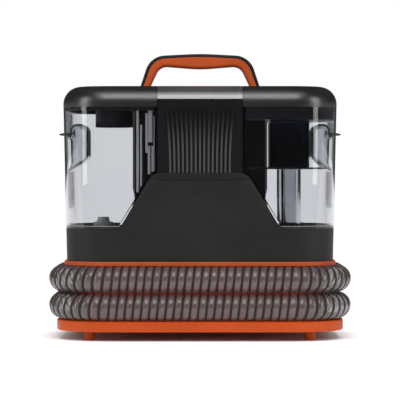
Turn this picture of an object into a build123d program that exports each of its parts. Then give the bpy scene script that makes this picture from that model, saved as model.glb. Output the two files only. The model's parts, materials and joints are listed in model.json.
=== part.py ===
"""Portable spot extractor: two lift-off tanks beside a motor column, on a spool that holds a wound suction hose.

Millimetres. +Z is up and the front faces -Y. The origin is on the floor, under the middle of the machine.
"""

import os
from math import cos, pi, radians, sin, tan

from build123d import *

os.makedirs("parts", exist_ok=True)

# ---------------------------------------------------------------- driving dimensions
# Hose, and the spool that it is wound on
hose_diameter = 30.0
hose_turn_gap = 1.0  # between the two turns, and between the hose and what it lies against
hose_end_gap = 0.8  # above and below the two turns
hose_outset = 5.5  # how far its centre line stands outside the housing's foot
hose_tail_inset = 2.0  # the tail rises this much nearer the machine than the wound turns
hose_tail_radius = 54.0
hose_widest_bend = 90.0
hose_tail_rise = 66.5  # from the upper turn to the hose's end, inside the tool's cuff
hose_climb_from = -12.0  # across the back, the lower turn climbs to the upper one
hose_climb_to = 92.0
port_run_x = 53.0  # how far the hose goes right and forward from its port to the lower turn's line
port_run_y = 64.0
port_reach = 24.0

foot_height = 10.5
foot_radius = 6.0
foot_taper = 2.0  # degrees
foot_chamfer = 0.8
foot_inset_x = 39.5  # from the base plate's edge
foot_inset_y = 27.5
foot_stem_radius = 3.0
foot_stem_length = 6.0
foot_boss_wall = 3.0
plate_thickness = 12.2
plate_round = 1.5
plate_foot_round = 1.2
plate_overhang = 6.0  # past the hose's centre line
plate_wall = 3.0
drum_wall = 3.0
flange_thickness = 4.6
flange_overhang = 3.0  # past the housing above it
flange_round = 1.2
flange_port_gap = 0.8

# Housing above the spool
body_half_width = 154.0
body_half_depth = 91.0
body_corner = 50.0
draft = 1.35  # degrees that the sides lean out
housing_wall = 2.6
housing_height = 37.1  # from the flange to the deck that the tanks stand on
nib_height = 64.5  # from the deck to the front nib's plateau
nib_head_half = 53.7
nib_foot_half = 91.7
nib_shoulder_radius = 18.0
nib_heel_radius = 16.0
panel_proud = 2.0  # the raised panel on the nib
panel_margin = 9.0  # below the nib's top
panel_side_margin = 6.5
panel_foot_rise = 14.0  # above the flange, where it has faded out
panel_round = 14.0
panel_bevel_angle = 62.0  # degrees
panel_bevel_room = 6.0
seam = 0.2

# Column between the tanks
column_half_width = 75.0
column_front = -45.0
column_split = 60.0  # where the rear cover takes over
column_ledge = 2.0  # what the column stands on, inside its wall
neck_half_width = 48.4  # the narrow front of the column, that carries the ribbed panel
rib_count = 15
rib_pitch = 4.82
rib_width = 2.2
rib_proud = 1.4
rib_top_gap = 10.0
rib_spread = 1.145  # the ribs stand this much further apart at the top
rib_lean_height = 30.0
ribbed_panel_thickness = 4.0
housing_split = -20.0  # where the front shell meets the rear ones

# Bay in the back for the hand tool
bay_half_width = 60.0
bay_depth = 17.0

# Crown: the lids and the top cap
crown_height = 24.2
crown_radius = 20.0
crown_wall = 2.5
top_cap_drop = 15.3  # height of the top cap's front

# Tanks
tank_wall = 2.2
tank_gap = 0.4
tank_height = 139.3  # from the deck to the underside of the lids
pocket_half_depth = 30.0
pocket_reach = 21.5  # how deep the fingers go in from the housing's foot line
pocket_lintel_depth = 4.0
pocket_roof_drop = 20.3  # from the underside of the lids
pocket_lintel_drop = 33.3
pocket_step_drop = 58.3
pocket_radius = 8.0
pocket_hook_radius = 6.4
pocket_lintel_round = 1.5
pocket_edge_round = 4.0
pocket_slope = 0.61
lip_overhang = 10.0
lip_height = 4.5
lip_edge = 1.2
lip_margin = 4.0  # at each end of the pocket
dock_offset = 31.5  # from the column's side
dock_setback = 46.0  # from the housing's back

# Handle
handle_half_depth = 12.0
handle_skin = 3.6  # black outer skin over the grip
handle_height = 40.5
handle_foot_half = 70.6
handle_depth_at_middle = 18.2
handle_foot_inner = 59.4
handle_splay = 12.4  # how far each leg leans in
handle_arch_rise = 3.0  # from the shoulders to the middle
handle_shoulder_radius = 24.0
handle_skin_radius = 20.5
handle_inner_radius = 13.0
handle_crown_radius = 300.0
handle_belly_radius = 150.0
handle_inner_drop = 14.5
handle_grip_round = 3.5
tenon_length = 12.0
tenon_half_width = 2.6
tenon_half_depth = 8.0

# Power button
button_y = -56.0
button_radius = 9.0
button_gap = 0.3
button_height = 6.5
button_proud = 0.5
button_travel = 3.0
button_round = 0.8
switch_half_width = 12.0
switch_height = 22.0
switch_tab_pitch = 8.0
switch_tab_length = 7.0

# Docks for the tanks, in the deck
recovery_radius = 14.5
recovery_wall = 2.0
air_radius = 11.0
air_dock_y = 0.0
valve_radius = 8.0
valve_offset = 41.0  # from the column's side
dock_wall = 2.6
dock_gap = 0.5
dock_drop = 17.0  # from the deck to the docks' undersides
dock_floor_wall = 3.0
dock_collar = 3.0
dock_seam = 0.2
spray_line_radius = 3.0
spray_line_rise = 14.0  # above the lower turn, inside the drum
spray_line_end_gap = 4.0
spray_bend = 6.0

# Vents and cord gland in the housing's back
grille_margin = 8.0
grille_width = 34.0
grille_sill = 6.0
grille_height = 25.0
grille_pitch = 4.6
grille_slots = 5
grille_bar = 2.0
grille_end = 3.0
gland_x = 84.0
gland_rise = 16.1  # from the flange
gland_radius = 7.0
gland_bore = 3.75
gland_half_length = 6.0
gland_rim = 3.0
gland_rim_gap = 0.6

# Control board, on standoffs behind the column's front
board_width = 56.0
board_height = 44.0
board_drop = 39.2  # from the top cap to the board's middle
board_thickness = 1.6
board_margin = 4.0  # from its edges to its standoffs
standoff_radius = 2.5
standoff_length = 11.5
standoff_sink = 1.5  # how far the standoffs' roots lie inside the housing's foot line

# Fan motor
motor_y = 14.5
motor_radius = 42.0
fan_radius = 52.0
fan_blades = 12
shaft_radius = 4.0
running_gap = 0.05

duct_height = 18.0
duct_wall = 2.0
duct_half_depth = 14.0
duct_overhang = 18.0  # past the fan's eye and past the dock
fan_housing_height = 30.0
fan_room = 3.5  # round the impeller
fan_outlet_front = 14.0
fan_outlet_back = 36.0
fan_outlet_inset = 30.0
fan_outlet_margin = 4.0
fan_shaft_hole = 12.0
impeller_low = 6.0  # above the fan housing's floor
impeller_drop = 7.0  # below its roof
impeller_plate = 2.0
impeller_hub = 10.0
blade_pitch_angle = 24.0
blade_thickness = 1.8
mount_height = 4.0
mount_overhang = 2.0
mount_width = 12.0
motor_height = 64.0
motor_wall = 3.0
motor_round = 6.0
motor_vents = 8
motor_vent_circle = 24.0
motor_vent_length = 14.0
motor_vent_width = 5.0
armature_gap = 9.0
armature_inset = 18.0
bearing_radius = 9.0
bearing_height = 5.0
bearing_seat = 3.0

# Pump
pump_offset = 5.0  # from the column's side
pump_front = -62.0
pump_length = 50.0
pump_radius = 13.0
pump_port_radius = 4.0
pump_port_length = 6.0
pump_port_inset = 8.0
pump_foot_half = 9.0
pump_foot_height = 5.0
pump_foot_lift = 3.0

# What stands in the tanks and hangs from the lids
pipe_sink = 9.0  # below the deck
pipe_drop = 26.3  # from the lids to the pipes' tops
pipe_collar = 3.0
air_window_height = 10.0
air_window_drop = 9.0
air_pipe_cap = 2.0
float_drop = 66.3
float_height = 22.0
float_radius = 19.0
float_gap = 0.4
float_chamfer = 1.2
float_rest = 2.7
float_rest_gap = 0.3
float_rest_width = 4.0
seal_drop = 8.0
seal_height = 3.0
seal_gap = 0.1
collar_height = 14.3
collar_gap = 0.6
lid_skirt = 4.0
lid_skirt_gap = 0.4
lid_skirt_root = 2.0
hood_offset = 7.0  # from the column's side
hood_width = 46.0
hood_ahead = 24.0  # of the air pipe
hood_behind = 21.0  # of the recovery pipe
hood_height = 54.5
hood_wall = 2.0
hood_round = 6.0
baffle_thickness = 2.0
baffle_gap = 1.0
baffle_side_gap = 5.6
baffle_outer_gap = 8.0
baffle_tail = 4.0
filler_offset = 25.6  # from the column's side
filler_bore = 20.5
filler_wall = 2.0
filler_length = 43.4
cap_gap = 0.3
cap_thickness = 6.0
cap_plug_wall = 3.0
cap_plug_length = 8.0
cap_grip_depth = 4.5
cap_round = 0.8
valve_bore = 5.0
valve_sink = 10.0
valve_rise = 6.0
valve_collar = 4.0
valve_collar_height = 3.0
valve_bridge = 3.0
valve_bridge_width = 2.0
valve_boss = 1.6
valve_stem_radius = 2.0
valve_stem_reach = 3.0
valve_head_gap = 1.0

# Hand tool
cuff_wall = 2.0
cuff_lap = 13.0  # how much of the hose it takes in
cuff_neck = 14.0
cuff_step = 3.0
cuff_chamfer = 0.8
tool_grip_radius = 15.5
tool_grip_length = 66.0
tool_bore_radius = 8.0
tool_bore_offset = 5.0
trigger_half_width = 6.0
trigger_proud = 1.0
trigger_depth = 5.5
trigger_rise = 24.0  # above the cuff
trigger_height = 30.0
trigger_gap = 0.3
trigger_foot_gap = 0.5
trigger_room = 5.0
trigger_round = 1.2
trigger_pivot_depth = 4.0
trigger_pivot_drop = 2.0
trigger_pin_radius = 1.5
trigger_pin_half = 9.0
head_length = 26.5
head_width = 100.0
head_depth = 28.0
head_corner = 8.0
head_wall = 2.0
brush_margin = 6.0
brush_taper = 2.0
brush_depth = 3.5
brush_root = 0.5
brush_stock_gap = 9.0
brush_tuft_gap = 3.0
nozzle_half_width = 5.0
nozzle_depth = 4.0
nozzle_height = 14.0
nozzle_drop = 14.0
clip_rise = 3.0  # above the cuff
clip_height = 12.0
clip_half_width = 20.5
clip_reach = 6.0
clip_round = 1.2

# Fasteners
screw_radius = 1.6
screw_head_radius = 3.4
screw_gap = 0.1
screw_head_gap = 0.3
screw_socket_radius = 1.4
screw_socket_depth = 1.8
screw_boss_wall = 2.0
screw_bottom_gap = 1.0  # between a screw's end and its hole's end
base_screw_x = 55.0
base_screw_inset = 4.5  # from the drum's inner wall
housing_screw_inset = 18.0
housing_screw_y = 40.0
screw_head_height = 3.0
screw_sink = 5.0  # depth of the counterbores under the base plate
screw_bite = 15.0  # how far a screw goes into its boss
cut_over = 1.0  # how far a cutting form runs past the face that it cuts

# ---------------------------------------------------------------- places worked out from them
hose_radius = hose_diameter / 2
plate_top = foot_height + plate_thickness
lower_turn_z = plate_top + hose_end_gap + hose_radius
upper_turn_z = lower_turn_z + hose_diameter + hose_turn_gap
drum_top = upper_turn_z + hose_radius + hose_end_gap
flange_top = drum_top + flange_thickness
deck = flange_top + housing_height
plateau = deck + nib_height
lid_bottom = deck + tank_height
crown_top = lid_bottom + crown_height
cap_bottom = crown_top - top_cap_drop
hose_path_half_width = body_half_width + hose_outset
hose_path_half_depth = body_half_depth + hose_outset
hose_path_corner = body_corner + hose_outset
hose_tail_y = hose_path_half_depth - hose_tail_inset
hose_tail_top = upper_turn_z + hose_tail_rise
drum_inset = hose_radius + hose_turn_gap / 2
drum_half_width = hose_path_half_width - drum_inset
drum_half_depth = hose_path_half_depth - drum_inset
drum_corner = hose_path_corner - drum_inset
plate_half_width = hose_path_half_width + plate_overhang
plate_half_depth = hose_path_half_depth + plate_overhang
plate_corner = hose_path_corner + plate_overhang
foot_x = plate_half_width - foot_inset_x
foot_y = plate_half_depth - foot_inset_y
base_screw_y = drum_half_depth - drum_wall - base_screw_inset
housing_screw_x = body_half_width - housing_screw_inset
dock_x = column_half_width + dock_offset
dock_y = body_half_depth - dock_setback
dock_floor = deck - dock_drop
valve_x = column_half_width + valve_offset
filler_x = column_half_width + filler_offset
bay_floor = body_half_depth - bay_depth
gland_z = flange_top + gland_rise
pocket_inner = body_half_width - pocket_reach
pocket_outer = body_half_width - pocket_lintel_depth
pocket_top = lid_bottom - pocket_roof_drop
pocket_lintel = lid_bottom - pocket_lintel_drop
pocket_step = lid_bottom - pocket_step_drop
lip_reach = body_half_width + lip_overhang
pump_x = -(column_half_width + pump_offset)
spray_line_x = column_half_width + pump_offset
spray_line_y = pump_front + pump_port_inset
pipe_foot = deck - pipe_sink
pipe_top = lid_bottom - pipe_drop
float_low = lid_bottom - float_drop
collar_low = lid_bottom - collar_height
hood_inner = column_half_width + hood_offset
hood_outer = hood_inner + hood_width
hood_front = air_dock_y - hood_ahead
hood_back = dock_y + hood_behind
hood_low = collar_low - hood_height
filler_low = crown_top - crown_wall - filler_length
board_z = cap_bottom - board_drop
head_shoulder = crown_top - head_length
board_standoff_root = body_half_depth - standoff_sink
board_y = standoff_length - board_standoff_root
BEYOND = 400.0  # longer than the machine, for cutting right through it


# ---------------------------------------------------------------- shared forms
def save(piece, name):
    """Label a finished piece and write it."""
    piece.part.label = name
    export_step(piece.part, f"parts/{name}.step")


def screw_points(x, y):
    """Four places, one in each quarter of the machine."""
    return [(side * x, end * y) for side in (-1, 1) for end in (-1, 1)]


def block(x_low, x_high, y_low, y_high, z_low, z_high):
    """A box between two corners."""
    with BuildPart() as box:
        with BuildSketch(Plane.XY.offset(z_low)):
            with Locations(((x_low + x_high) / 2, (y_low + y_high) / 2)):
                Rectangle(x_high - x_low, y_high - y_low)
        extrude(amount=z_high - z_low)
    return box.part


def disc(x, y, radius, z_low, z_high):
    """An upright cylinder between two heights."""
    with BuildPart() as cylinder:
        with BuildSketch(Plane.XY.offset(z_low)):
            with Locations((x, y)):
                Circle(radius)
        extrude(amount=z_high - z_low)
    return cylinder.part


def pipe(x, y, outer, inner, z_low, z_high):
    """An upright tube between two heights."""
    with BuildPart() as tube:
        with BuildSketch(Plane.XY.offset(z_low)):
            with Locations((x, y)):
                Circle(outer)
                Circle(inner, mode=Mode.SUBTRACT)
        extrude(amount=z_high - z_low)
    return tube.part


def rounded_slab(half_width, half_depth, corner, z_low, z_high):
    """An upright block with rounded corners, about the middle of the machine."""
    with BuildPart() as slab:
        with BuildSketch(Plane.XY.offset(z_low)):
            RectangleRounded(2 * half_width, 2 * half_depth, corner)
        extrude(amount=z_high - z_low)
    return slab.part


def body_form(inset, z_low, z_high):
    """The housing's outer form between two heights, drawn in by inset. Its sides lean out with the draft."""
    grow = (z_low - flange_top) * tan(radians(draft)) - inset
    with BuildPart() as form:
        with BuildSketch(Plane.XY.offset(z_low)):
            RectangleRounded(
                2 * (body_half_width + grow), 2 * (body_half_depth + grow), body_corner + grow
            )
        extrude(amount=z_high - z_low, taper=-draft)
    return form.part


def crown_form(inset):
    """The body form above the tanks, with its top edge rounded over."""
    with BuildPart() as form:
        add(body_form(inset, lid_bottom, crown_top - inset))
        fillet(form.faces().sort_by(Axis.Z)[-1].edges(), radius=crown_radius - inset)
    return form.part


def side_zone(inset, z_low, z_high):
    """The room right of the column and of its narrow front, kept clear of both by the tank gap and inset."""
    near = neck_half_width + tank_gap + inset
    far = column_half_width + tank_gap + inset
    step = column_front - tank_gap - inset
    with BuildPart() as zone:
        with BuildSketch(Plane.XY.offset(z_low)):
            with BuildLine():
                Polyline(
                    (near, -BEYOND), (BEYOND, -BEYOND), (BEYOND, BEYOND),
                    (far, BEYOND), (far, step), (near, step), close=True,
                )
            make_face()
        extrude(amount=z_high - z_low)
    return zone.part


def centre_zone(inset, z_low, z_high):
    """The column's own plan: narrow in front and wide behind."""
    near = neck_half_width - inset
    far = column_half_width - inset
    step = column_front + inset
    with BuildPart() as zone:
        with BuildSketch(Plane.XY.offset(z_low)):
            with BuildLine():
                Polyline(
                    (-near, -BEYOND), (near, -BEYOND), (near, step), (far, step), (far, BEYOND),
                    (-far, BEYOND), (-far, step), (-near, step), close=True,
                )
            make_face()
        extrude(amount=z_high - z_low)
    return zone.part


def nib_silhouette(grow):
    """Deck and nib as seen from the front, grown by a wall or a gap, as a prism through the whole depth."""
    with BuildPart() as prism:
        with BuildSketch(Plane.XZ):
            with BuildLine():
                FilletPolyline(
                    (-BEYOND, deck), (-nib_foot_half, deck), (-nib_head_half, plateau),
                    (nib_head_half, plateau), (nib_foot_half, deck), (BEYOND, deck),
                    radius=[nib_heel_radius, nib_shoulder_radius, nib_shoulder_radius, nib_heel_radius],
                )
                Polyline((BEYOND, deck), (BEYOND, -BEYOND), (-BEYOND, -BEYOND), (-BEYOND, deck))
            make_face()
            if grow:
                offset(amount=grow, mode=Mode.REPLACE)
        extrude(amount=BEYOND, both=True)
    return prism.part


def bay(grow):
    """The room in the back for the hand tool and the hose's tail, grown by a wall."""
    half = bay_half_width + grow
    return block(-half, half, bay_floor - grow, BEYOND, drum_top - cut_over, crown_top + BEYOND)


def rod_along_x(x_low, x_high, y, z, radius):
    """A cylinder that lies along X."""
    with BuildPart() as rod:
        with BuildSketch(Plane.YZ.offset(x_low)):
            with Locations((y, z)):
                Circle(radius)
        extrude(amount=x_high - x_low)
    return rod.part


def rod_along_y(x, z, radius, y_low, y_high):
    """A cylinder that lies along Y."""
    with BuildPart() as rod:
        with BuildSketch(Plane.XZ.offset(-y_low)):
            with Locations((x, z)):
                Circle(radius)
        extrude(amount=-(y_high - y_low))
    return rod.part


def below_grip(point):
    """Whether a point is on the handle's inner outline, and not at its feet."""
    inside = abs(point.X) < handle_foot_inner + handle_skin / 2
    return inside and crown_top + cut_over < point.Z < handle_top - handle_inner_drop + handle_skin / 2


def front_y(z):
    """Where the front face stands at a height."""
    return -(body_half_depth + (z - flange_top) * tan(radians(draft)))


def tube_along(points, radii, radius):
    """A solid rod along straight runs that are joined by arcs."""
    with BuildPart() as rod:
        with BuildLine() as route:
            FilletPolyline(*points, radius=radii)
        start = Plane(origin=route.line @ 0, z_dir=route.line % 0)
        with BuildSketch(start):
            Circle(radius)
        sweep(path=route.line)
    return rod.part


# ---------------------------------------------------------------- spool: feet, base plate, drum and flange
screw_places = screw_points(base_screw_x, base_screw_y)
foot_places = screw_points(foot_x, foot_y)

with BuildPart() as feet:
    with BuildSketch():
        with Locations(*foot_places):
            Circle(foot_radius)
    extrude(amount=foot_height, taper=-foot_taper)
    chamfer(feet.faces().sort_by(Axis.Z)[: len(foot_places)].edges(), length=foot_chamfer)
    with BuildSketch(Plane.XY.offset(foot_height)):
        with Locations(*foot_places):
            Circle(foot_stem_radius)
    extrude(amount=foot_stem_length)
save(feet, "feet")

plate_body = rounded_slab(plate_half_width, plate_half_depth, plate_corner, foot_height, plate_top)
plate_hollow = rounded_slab(
    plate_half_width - plate_wall, plate_half_depth - plate_wall, plate_corner - plate_wall,
    foot_height, plate_top - plate_wall,
)
with BuildPart() as base_plate:
    add(plate_body)
    fillet(base_plate.faces().sort_by(Axis.Z)[-1].edges(), radius=plate_round)
    fillet(base_plate.faces().sort_by(Axis.Z)[0].edges(), radius=plate_foot_round)
    add(plate_hollow, mode=Mode.SUBTRACT)
    with BuildSketch(Plane.XY.offset(foot_height)):
        with Locations(*foot_places):
            Circle(foot_radius + foot_boss_wall)
        with Locations(*screw_places):
            Circle(screw_head_radius + screw_boss_wall)
    extrude(amount=plate_thickness - plate_wall)
    with BuildSketch(Plane.XY.offset(foot_height)):
        with Locations(*foot_places):
            Circle(foot_stem_radius + screw_gap)
    extrude(amount=foot_stem_length + screw_gap, mode=Mode.SUBTRACT)
    with BuildSketch(Plane.XY.offset(foot_height)):
        with Locations(*screw_places):
            Circle(screw_radius + screw_gap)
    extrude(amount=plate_thickness, mode=Mode.SUBTRACT)
    with BuildSketch(Plane.XY.offset(foot_height)):
        with Locations(*screw_places):
            Circle(screw_head_radius + screw_head_gap)
    extrude(amount=screw_sink, mode=Mode.SUBTRACT)
save(base_plate, "base_plate")

# The hose leaves its port inside the drum, runs out through the drum's right side and joins the lower turn.
port_corner = (dock_x, dock_y)
port_length = (port_run_x**2 + port_run_y**2) ** 0.5
port_dir = (port_run_x / port_length, -port_run_y / port_length)
hose_start = (port_corner[0] + port_reach * port_dir[0], port_corner[1] + port_reach * port_dir[1])


def corner_points(x_side, y_side, side_first, z):
    """Three points that turn a right angle of the wound hose in equal steps, from the machine's side if asked."""
    cx = x_side * (hose_path_half_width - hose_path_corner)
    cy = y_side * (hose_path_half_depth - hose_path_corner)
    reach = hose_path_corner / cos(radians(15))
    angles = (15, 45, 75) if side_first else (75, 45, 15)
    return [(cx + x_side * reach * cos(radians(a)), cy + y_side * reach * sin(radians(a)), z) for a in angles]


hose_points = (
    [(*hose_start, lower_turn_z)]
    + [(hose_path_half_width, port_corner[1] + (hose_path_half_width - dock_x) * port_dir[1] / port_dir[0],
        lower_turn_z)]
    + corner_points(1, -1, True, lower_turn_z)
    + corner_points(-1, -1, False, lower_turn_z)
    + corner_points(-1, 1, True, lower_turn_z)
    + [(hose_climb_from, hose_path_half_depth, lower_turn_z)]
    + [(hose_climb_to, hose_path_half_depth, upper_turn_z)]
    + corner_points(1, 1, False, upper_turn_z)
    + corner_points(1, -1, True, upper_turn_z)
    + corner_points(-1, -1, False, upper_turn_z)
    + corner_points(-1, 1, True, upper_turn_z)
    + [(0, hose_tail_y, upper_turn_z), (0, hose_tail_y, hose_tail_top)]
)


def turn_at(points, i):
    """The angle in degrees that a route turns at one of its points."""
    before = Vector(*points[i]) - Vector(*points[i - 1])
    after = Vector(*points[i + 1]) - Vector(*points[i])
    return before.get_angle(after)


def fitted_radii(points):
    """A radius for each corner of a route, as large as its two runs allow."""
    runs = [(Vector(*q) - Vector(*p)).length for p, q in zip(points, points[1:])]
    shares = [0.49 * min(runs[i - 1], runs[i]) for i in range(1, len(runs))]
    return [share / tan(radians(turn_at(points, i + 1) / 2)) for i, share in enumerate(shares)]


hose_radii = [min(radius, hose_widest_bend) for radius in fitted_radii(hose_points)]
hose_radii[-1] = min(hose_tail_radius, 0.98 * (hose_tail_top - upper_turn_z))
print("hose radii", [round(r, 1) for r in hose_radii])
hose_rod = tube_along(hose_points, hose_radii, hose_radius)
with BuildPart() as hose:
    add(hose_rod)
save(hose, "hose")
with BuildLine() as hose_route:
    FilletPolyline(*hose_points, radius=hose_radii)
hose_length = sum(edge.length for edge in hose_route.edges())
print("hose length", round(hose_length, 1), "mm")
print("volume over section times length", round(hose.part.volume / (pi * hose_radius**2 * hose_length), 5))

drum_hole = tube_along(
    [(*port_corner, lower_turn_z), hose_points[1], hose_points[2]], [hose_radii[0]], hose_radius + hose_turn_gap
)
tail_room = tube_along(hose_points[-3:], hose_radii[-1:], hose_radius + hose_turn_gap)
drum_body = rounded_slab(drum_half_width, drum_half_depth, drum_corner, plate_top, drum_top)
drum_hollow = rounded_slab(
    drum_half_width - drum_wall, drum_half_depth - drum_wall, drum_corner - drum_wall, plate_top, drum_top
)
with BuildPart() as hose_drum:
    add(drum_body)
    add(drum_hollow, mode=Mode.SUBTRACT)
    with BuildSketch(Plane.XY.offset(plate_top)):
        with Locations(*screw_places):
            Circle(screw_head_radius + screw_boss_wall)
    extrude(amount=drum_top - plate_top)
    with BuildSketch(Plane.XY.offset(plate_top)):
        with Locations(*screw_places):
            Circle(screw_radius + screw_gap)
    extrude(amount=screw_bite + screw_bottom_gap, mode=Mode.SUBTRACT)
    add(drum_hole, mode=Mode.SUBTRACT)
    add(tail_room, mode=Mode.SUBTRACT)
save(hose_drum, "hose_drum")

with BuildPart() as ring_flange:
    add(
        rounded_slab(
            body_half_width + flange_overhang, body_half_depth + flange_overhang,
            body_corner + flange_overhang, drum_top, flange_top,
        )
    )
    fillet(ring_flange.faces().sort_by(Axis.Z)[-1].edges(), radius=flange_round)
    add(bay(0), mode=Mode.SUBTRACT)
    with BuildSketch(Plane.XY.offset(drum_top)):
        with Locations((dock_x, dock_y)):
            Circle(recovery_radius + flange_port_gap)
        with Locations((spray_line_x, spray_line_y)):
            Circle(spray_line_radius + screw_gap)
        with Locations(*screw_points(housing_screw_x, housing_screw_y)):
            Circle(screw_radius + screw_gap)
    extrude(amount=flange_thickness, mode=Mode.SUBTRACT)
save(ring_flange, "ring_flange")


def screws(places, head_bottom, head_height, shank_top):
    """Screws driven upwards, heads below, as one group."""
    with BuildPart() as group:
        with BuildSketch(Plane.XY.offset(head_bottom)):
            with Locations(*places):
                Circle(screw_head_radius)
        extrude(amount=head_height)
        with BuildSketch(Plane.XY.offset(head_bottom)):
            with Locations(*places):
                RegularPolygon(screw_socket_radius, 6)
        extrude(amount=screw_socket_depth, mode=Mode.SUBTRACT)
        with BuildSketch(Plane.XY.offset(head_bottom + head_height)):
            with Locations(*places):
                Circle(screw_radius)
        extrude(amount=shank_top - head_bottom - head_height)
    return group


base_screws = screws(
    screw_places, foot_height + screw_sink - screw_head_height,
    screw_head_height, plate_top + screw_bite,
)
save(base_screws, "base_screws")
housing_screw_places = screw_points(housing_screw_x, housing_screw_y)
housing_screws = screws(
    housing_screw_places, drum_top - screw_head_height,
    screw_head_height, flange_top + screw_bite,
)
save(housing_screws, "housing_screws")


# ---------------------------------------------------------------- housing: front shell, rear shells and bay liner
def housing_form(inset):
    """Everything under the deck and in the nib, drawn in by inset, with the bay left out."""
    with BuildPart() as form:
        add(body_form(inset, flange_top, plateau))
        add(nib_silhouette(-inset), mode=Mode.INTERSECT)
        add(bay(inset), mode=Mode.SUBTRACT)
    return form.part


column_opening_inset = housing_wall + column_ledge
column_opening = block(
    column_opening_inset - column_half_width, column_half_width - column_opening_inset,
    column_front + column_opening_inset, bay_floor - column_opening_inset, flange_top, plateau + cut_over,
)
grille_x_high = -(bay_half_width + grille_margin)
grille_x_low = grille_x_high - grille_width
grille_low = flange_top + grille_sill
grille_window = block(grille_x_low, grille_x_high, 0, BEYOND, grille_low, grille_low + grille_height)

with BuildPart() as housing:
    add(housing_form(0))
    add(housing_form(housing_wall), mode=Mode.SUBTRACT)
    with BuildSketch(Plane.XY.offset(flange_top)):
        with Locations(*housing_screw_places):
            Circle(screw_head_radius + screw_boss_wall)
    extrude(amount=housing_height - housing_wall / 2)
    with BuildSketch(Plane.XY.offset(flange_top)):
        with Locations(*housing_screw_places):
            Circle(screw_radius + screw_gap)
    extrude(amount=screw_bite + screw_bottom_gap, mode=Mode.SUBTRACT)
    add(column_opening, mode=Mode.SUBTRACT)
    add(grille_window, mode=Mode.SUBTRACT)
    with BuildSketch(Plane.XY.offset(deck - housing_wall - cut_over)):
        with Locations((dock_x, dock_y)):
            Circle(recovery_radius + dock_wall + dock_gap)
        with Locations((dock_x, air_dock_y)):
            Circle(air_radius + dock_wall + dock_gap)
        with Locations((-valve_x, dock_y)):
            Circle(valve_radius + dock_wall + dock_gap)
    extrude(amount=housing_wall + nib_heel_radius, mode=Mode.SUBTRACT)
    add(
        rod_along_y(gland_x, gland_z, gland_radius + screw_gap, body_half_depth - housing_wall - cut_over, BEYOND),
        mode=Mode.SUBTRACT,
    )

with BuildPart() as front_shell:
    add(housing.part)
    split(bisect_by=Plane.XZ.offset(-housing_split + seam / 2), keep=Keep.TOP)
save(front_shell, "front_shell")


def liner_zone(gap):
    """The bay with its walls and the column's rear ledge, grown by a gap."""
    half = bay_half_width + housing_wall + gap
    return block(-half, half, bay_floor - column_opening_inset - gap, BEYOND, 0, BEYOND)


with BuildPart() as bay_liner:
    add(housing.part)
    add(liner_zone(0), mode=Mode.INTERSECT)
save(bay_liner, "bay_liner")
for side_name, keep_side in (("left", Keep.BOTTOM), ("right", Keep.TOP)):
    with BuildPart() as rear_side:
        add(housing.part)
        split(bisect_by=Plane.XZ.offset(-housing_split - seam / 2), keep=Keep.BOTTOM)
        add(liner_zone(seam), mode=Mode.SUBTRACT)
        split(bisect_by=Plane.YZ, keep=keep_side)
    save(rear_side, f"rear_shell_{side_name}")

# A soft raised panel on the nib's front: its sides run parallel to the nib's, and it fades out below the deck
panel_low = flange_top + panel_foot_rise
panel_high = plateau - panel_margin
panel_rise_per_width = nib_height / (nib_foot_half - nib_head_half)
panel_head_half = nib_head_half + (plateau - panel_high) / panel_rise_per_width - panel_side_margin
panel_foot_half = panel_head_half + (panel_high - panel_low) / panel_rise_per_width
panel_front = front_y(panel_high) - panel_proud
with BuildPart() as front_panel:
    with BuildSketch(Plane.YZ):
        with BuildLine():
            Polyline(
                (front_y(panel_low), panel_low), (panel_front, panel_high),
                (front_y(panel_high), panel_high), close=True,
            )
        make_face()
    extrude(amount=nib_foot_half + BEYOND, both=True)
    with BuildSketch(Plane.XZ.offset(-panel_front), mode=Mode.PRIVATE) as panel_outline:
        with BuildLine():
            FilletPolyline(
                (-panel_foot_half, panel_low), (-panel_head_half, panel_high),
                (panel_head_half, panel_high), (panel_foot_half, panel_low), radius=panel_round,
            )
            Line((panel_foot_half, panel_low), (-panel_foot_half, panel_low))
        make_face()
    extrude(panel_outline.sketch, amount=-panel_bevel_room, taper=-panel_bevel_angle, mode=Mode.INTERSECT)
save(front_panel, "front_panel")

with BuildPart() as exhaust_grille:
    add(body_form(housing_wall / 4, flange_top, deck))
    add(body_form(housing_wall, flange_top, deck), mode=Mode.SUBTRACT)
    add(
        block(
            grille_x_low + screw_gap, grille_x_high - screw_gap, 0, BEYOND,
            grille_low + screw_gap, grille_low + grille_height - screw_gap,
        ),
        mode=Mode.INTERSECT,
    )
    with BuildSketch(Plane.XZ):
        with Locations(((grille_x_low + grille_x_high) / 2, grille_low + grille_height / 2)):
            with GridLocations(0, grille_pitch, 1, grille_slots):
                SlotOverall(grille_width - 2 * grille_end, grille_pitch - grille_bar)
    extrude(amount=-BEYOND, mode=Mode.SUBTRACT)
save(exhaust_grille, "exhaust_grille")

gland_low = body_half_depth - gland_half_length
gland_high = body_half_depth + gland_half_length
rim_low = body_half_depth + gland_rim_gap
with BuildPart() as cord_gland:
    add(rod_along_y(gland_x, gland_z, gland_radius, gland_low, gland_high))
    add(rod_along_y(gland_x, gland_z, gland_radius + gland_rim, rim_low, rim_low + gland_rim))
    add(body_form(0, flange_top, deck), mode=Mode.SUBTRACT)
    add(rod_along_y(gland_x, gland_z, gland_radius, gland_low, rim_low + gland_rim / 2))
    add(rod_along_y(gland_x, gland_z, gland_bore, 0, BEYOND), mode=Mode.SUBTRACT)
save(cord_gland, "cord_gland")


# ---------------------------------------------------------------- column, its rear cover and its front panel
def column_form(inset):
    """The column between the tanks, from the nib's plateau to the top cap, drawn in by inset."""
    with BuildPart() as form:
        add(centre_zone(inset, deck, cap_bottom))
        add(body_form(inset + ribbed_panel_thickness, deck, cap_bottom), mode=Mode.INTERSECT)
        add(bay(inset), mode=Mode.SUBTRACT)
    return form.part


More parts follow.
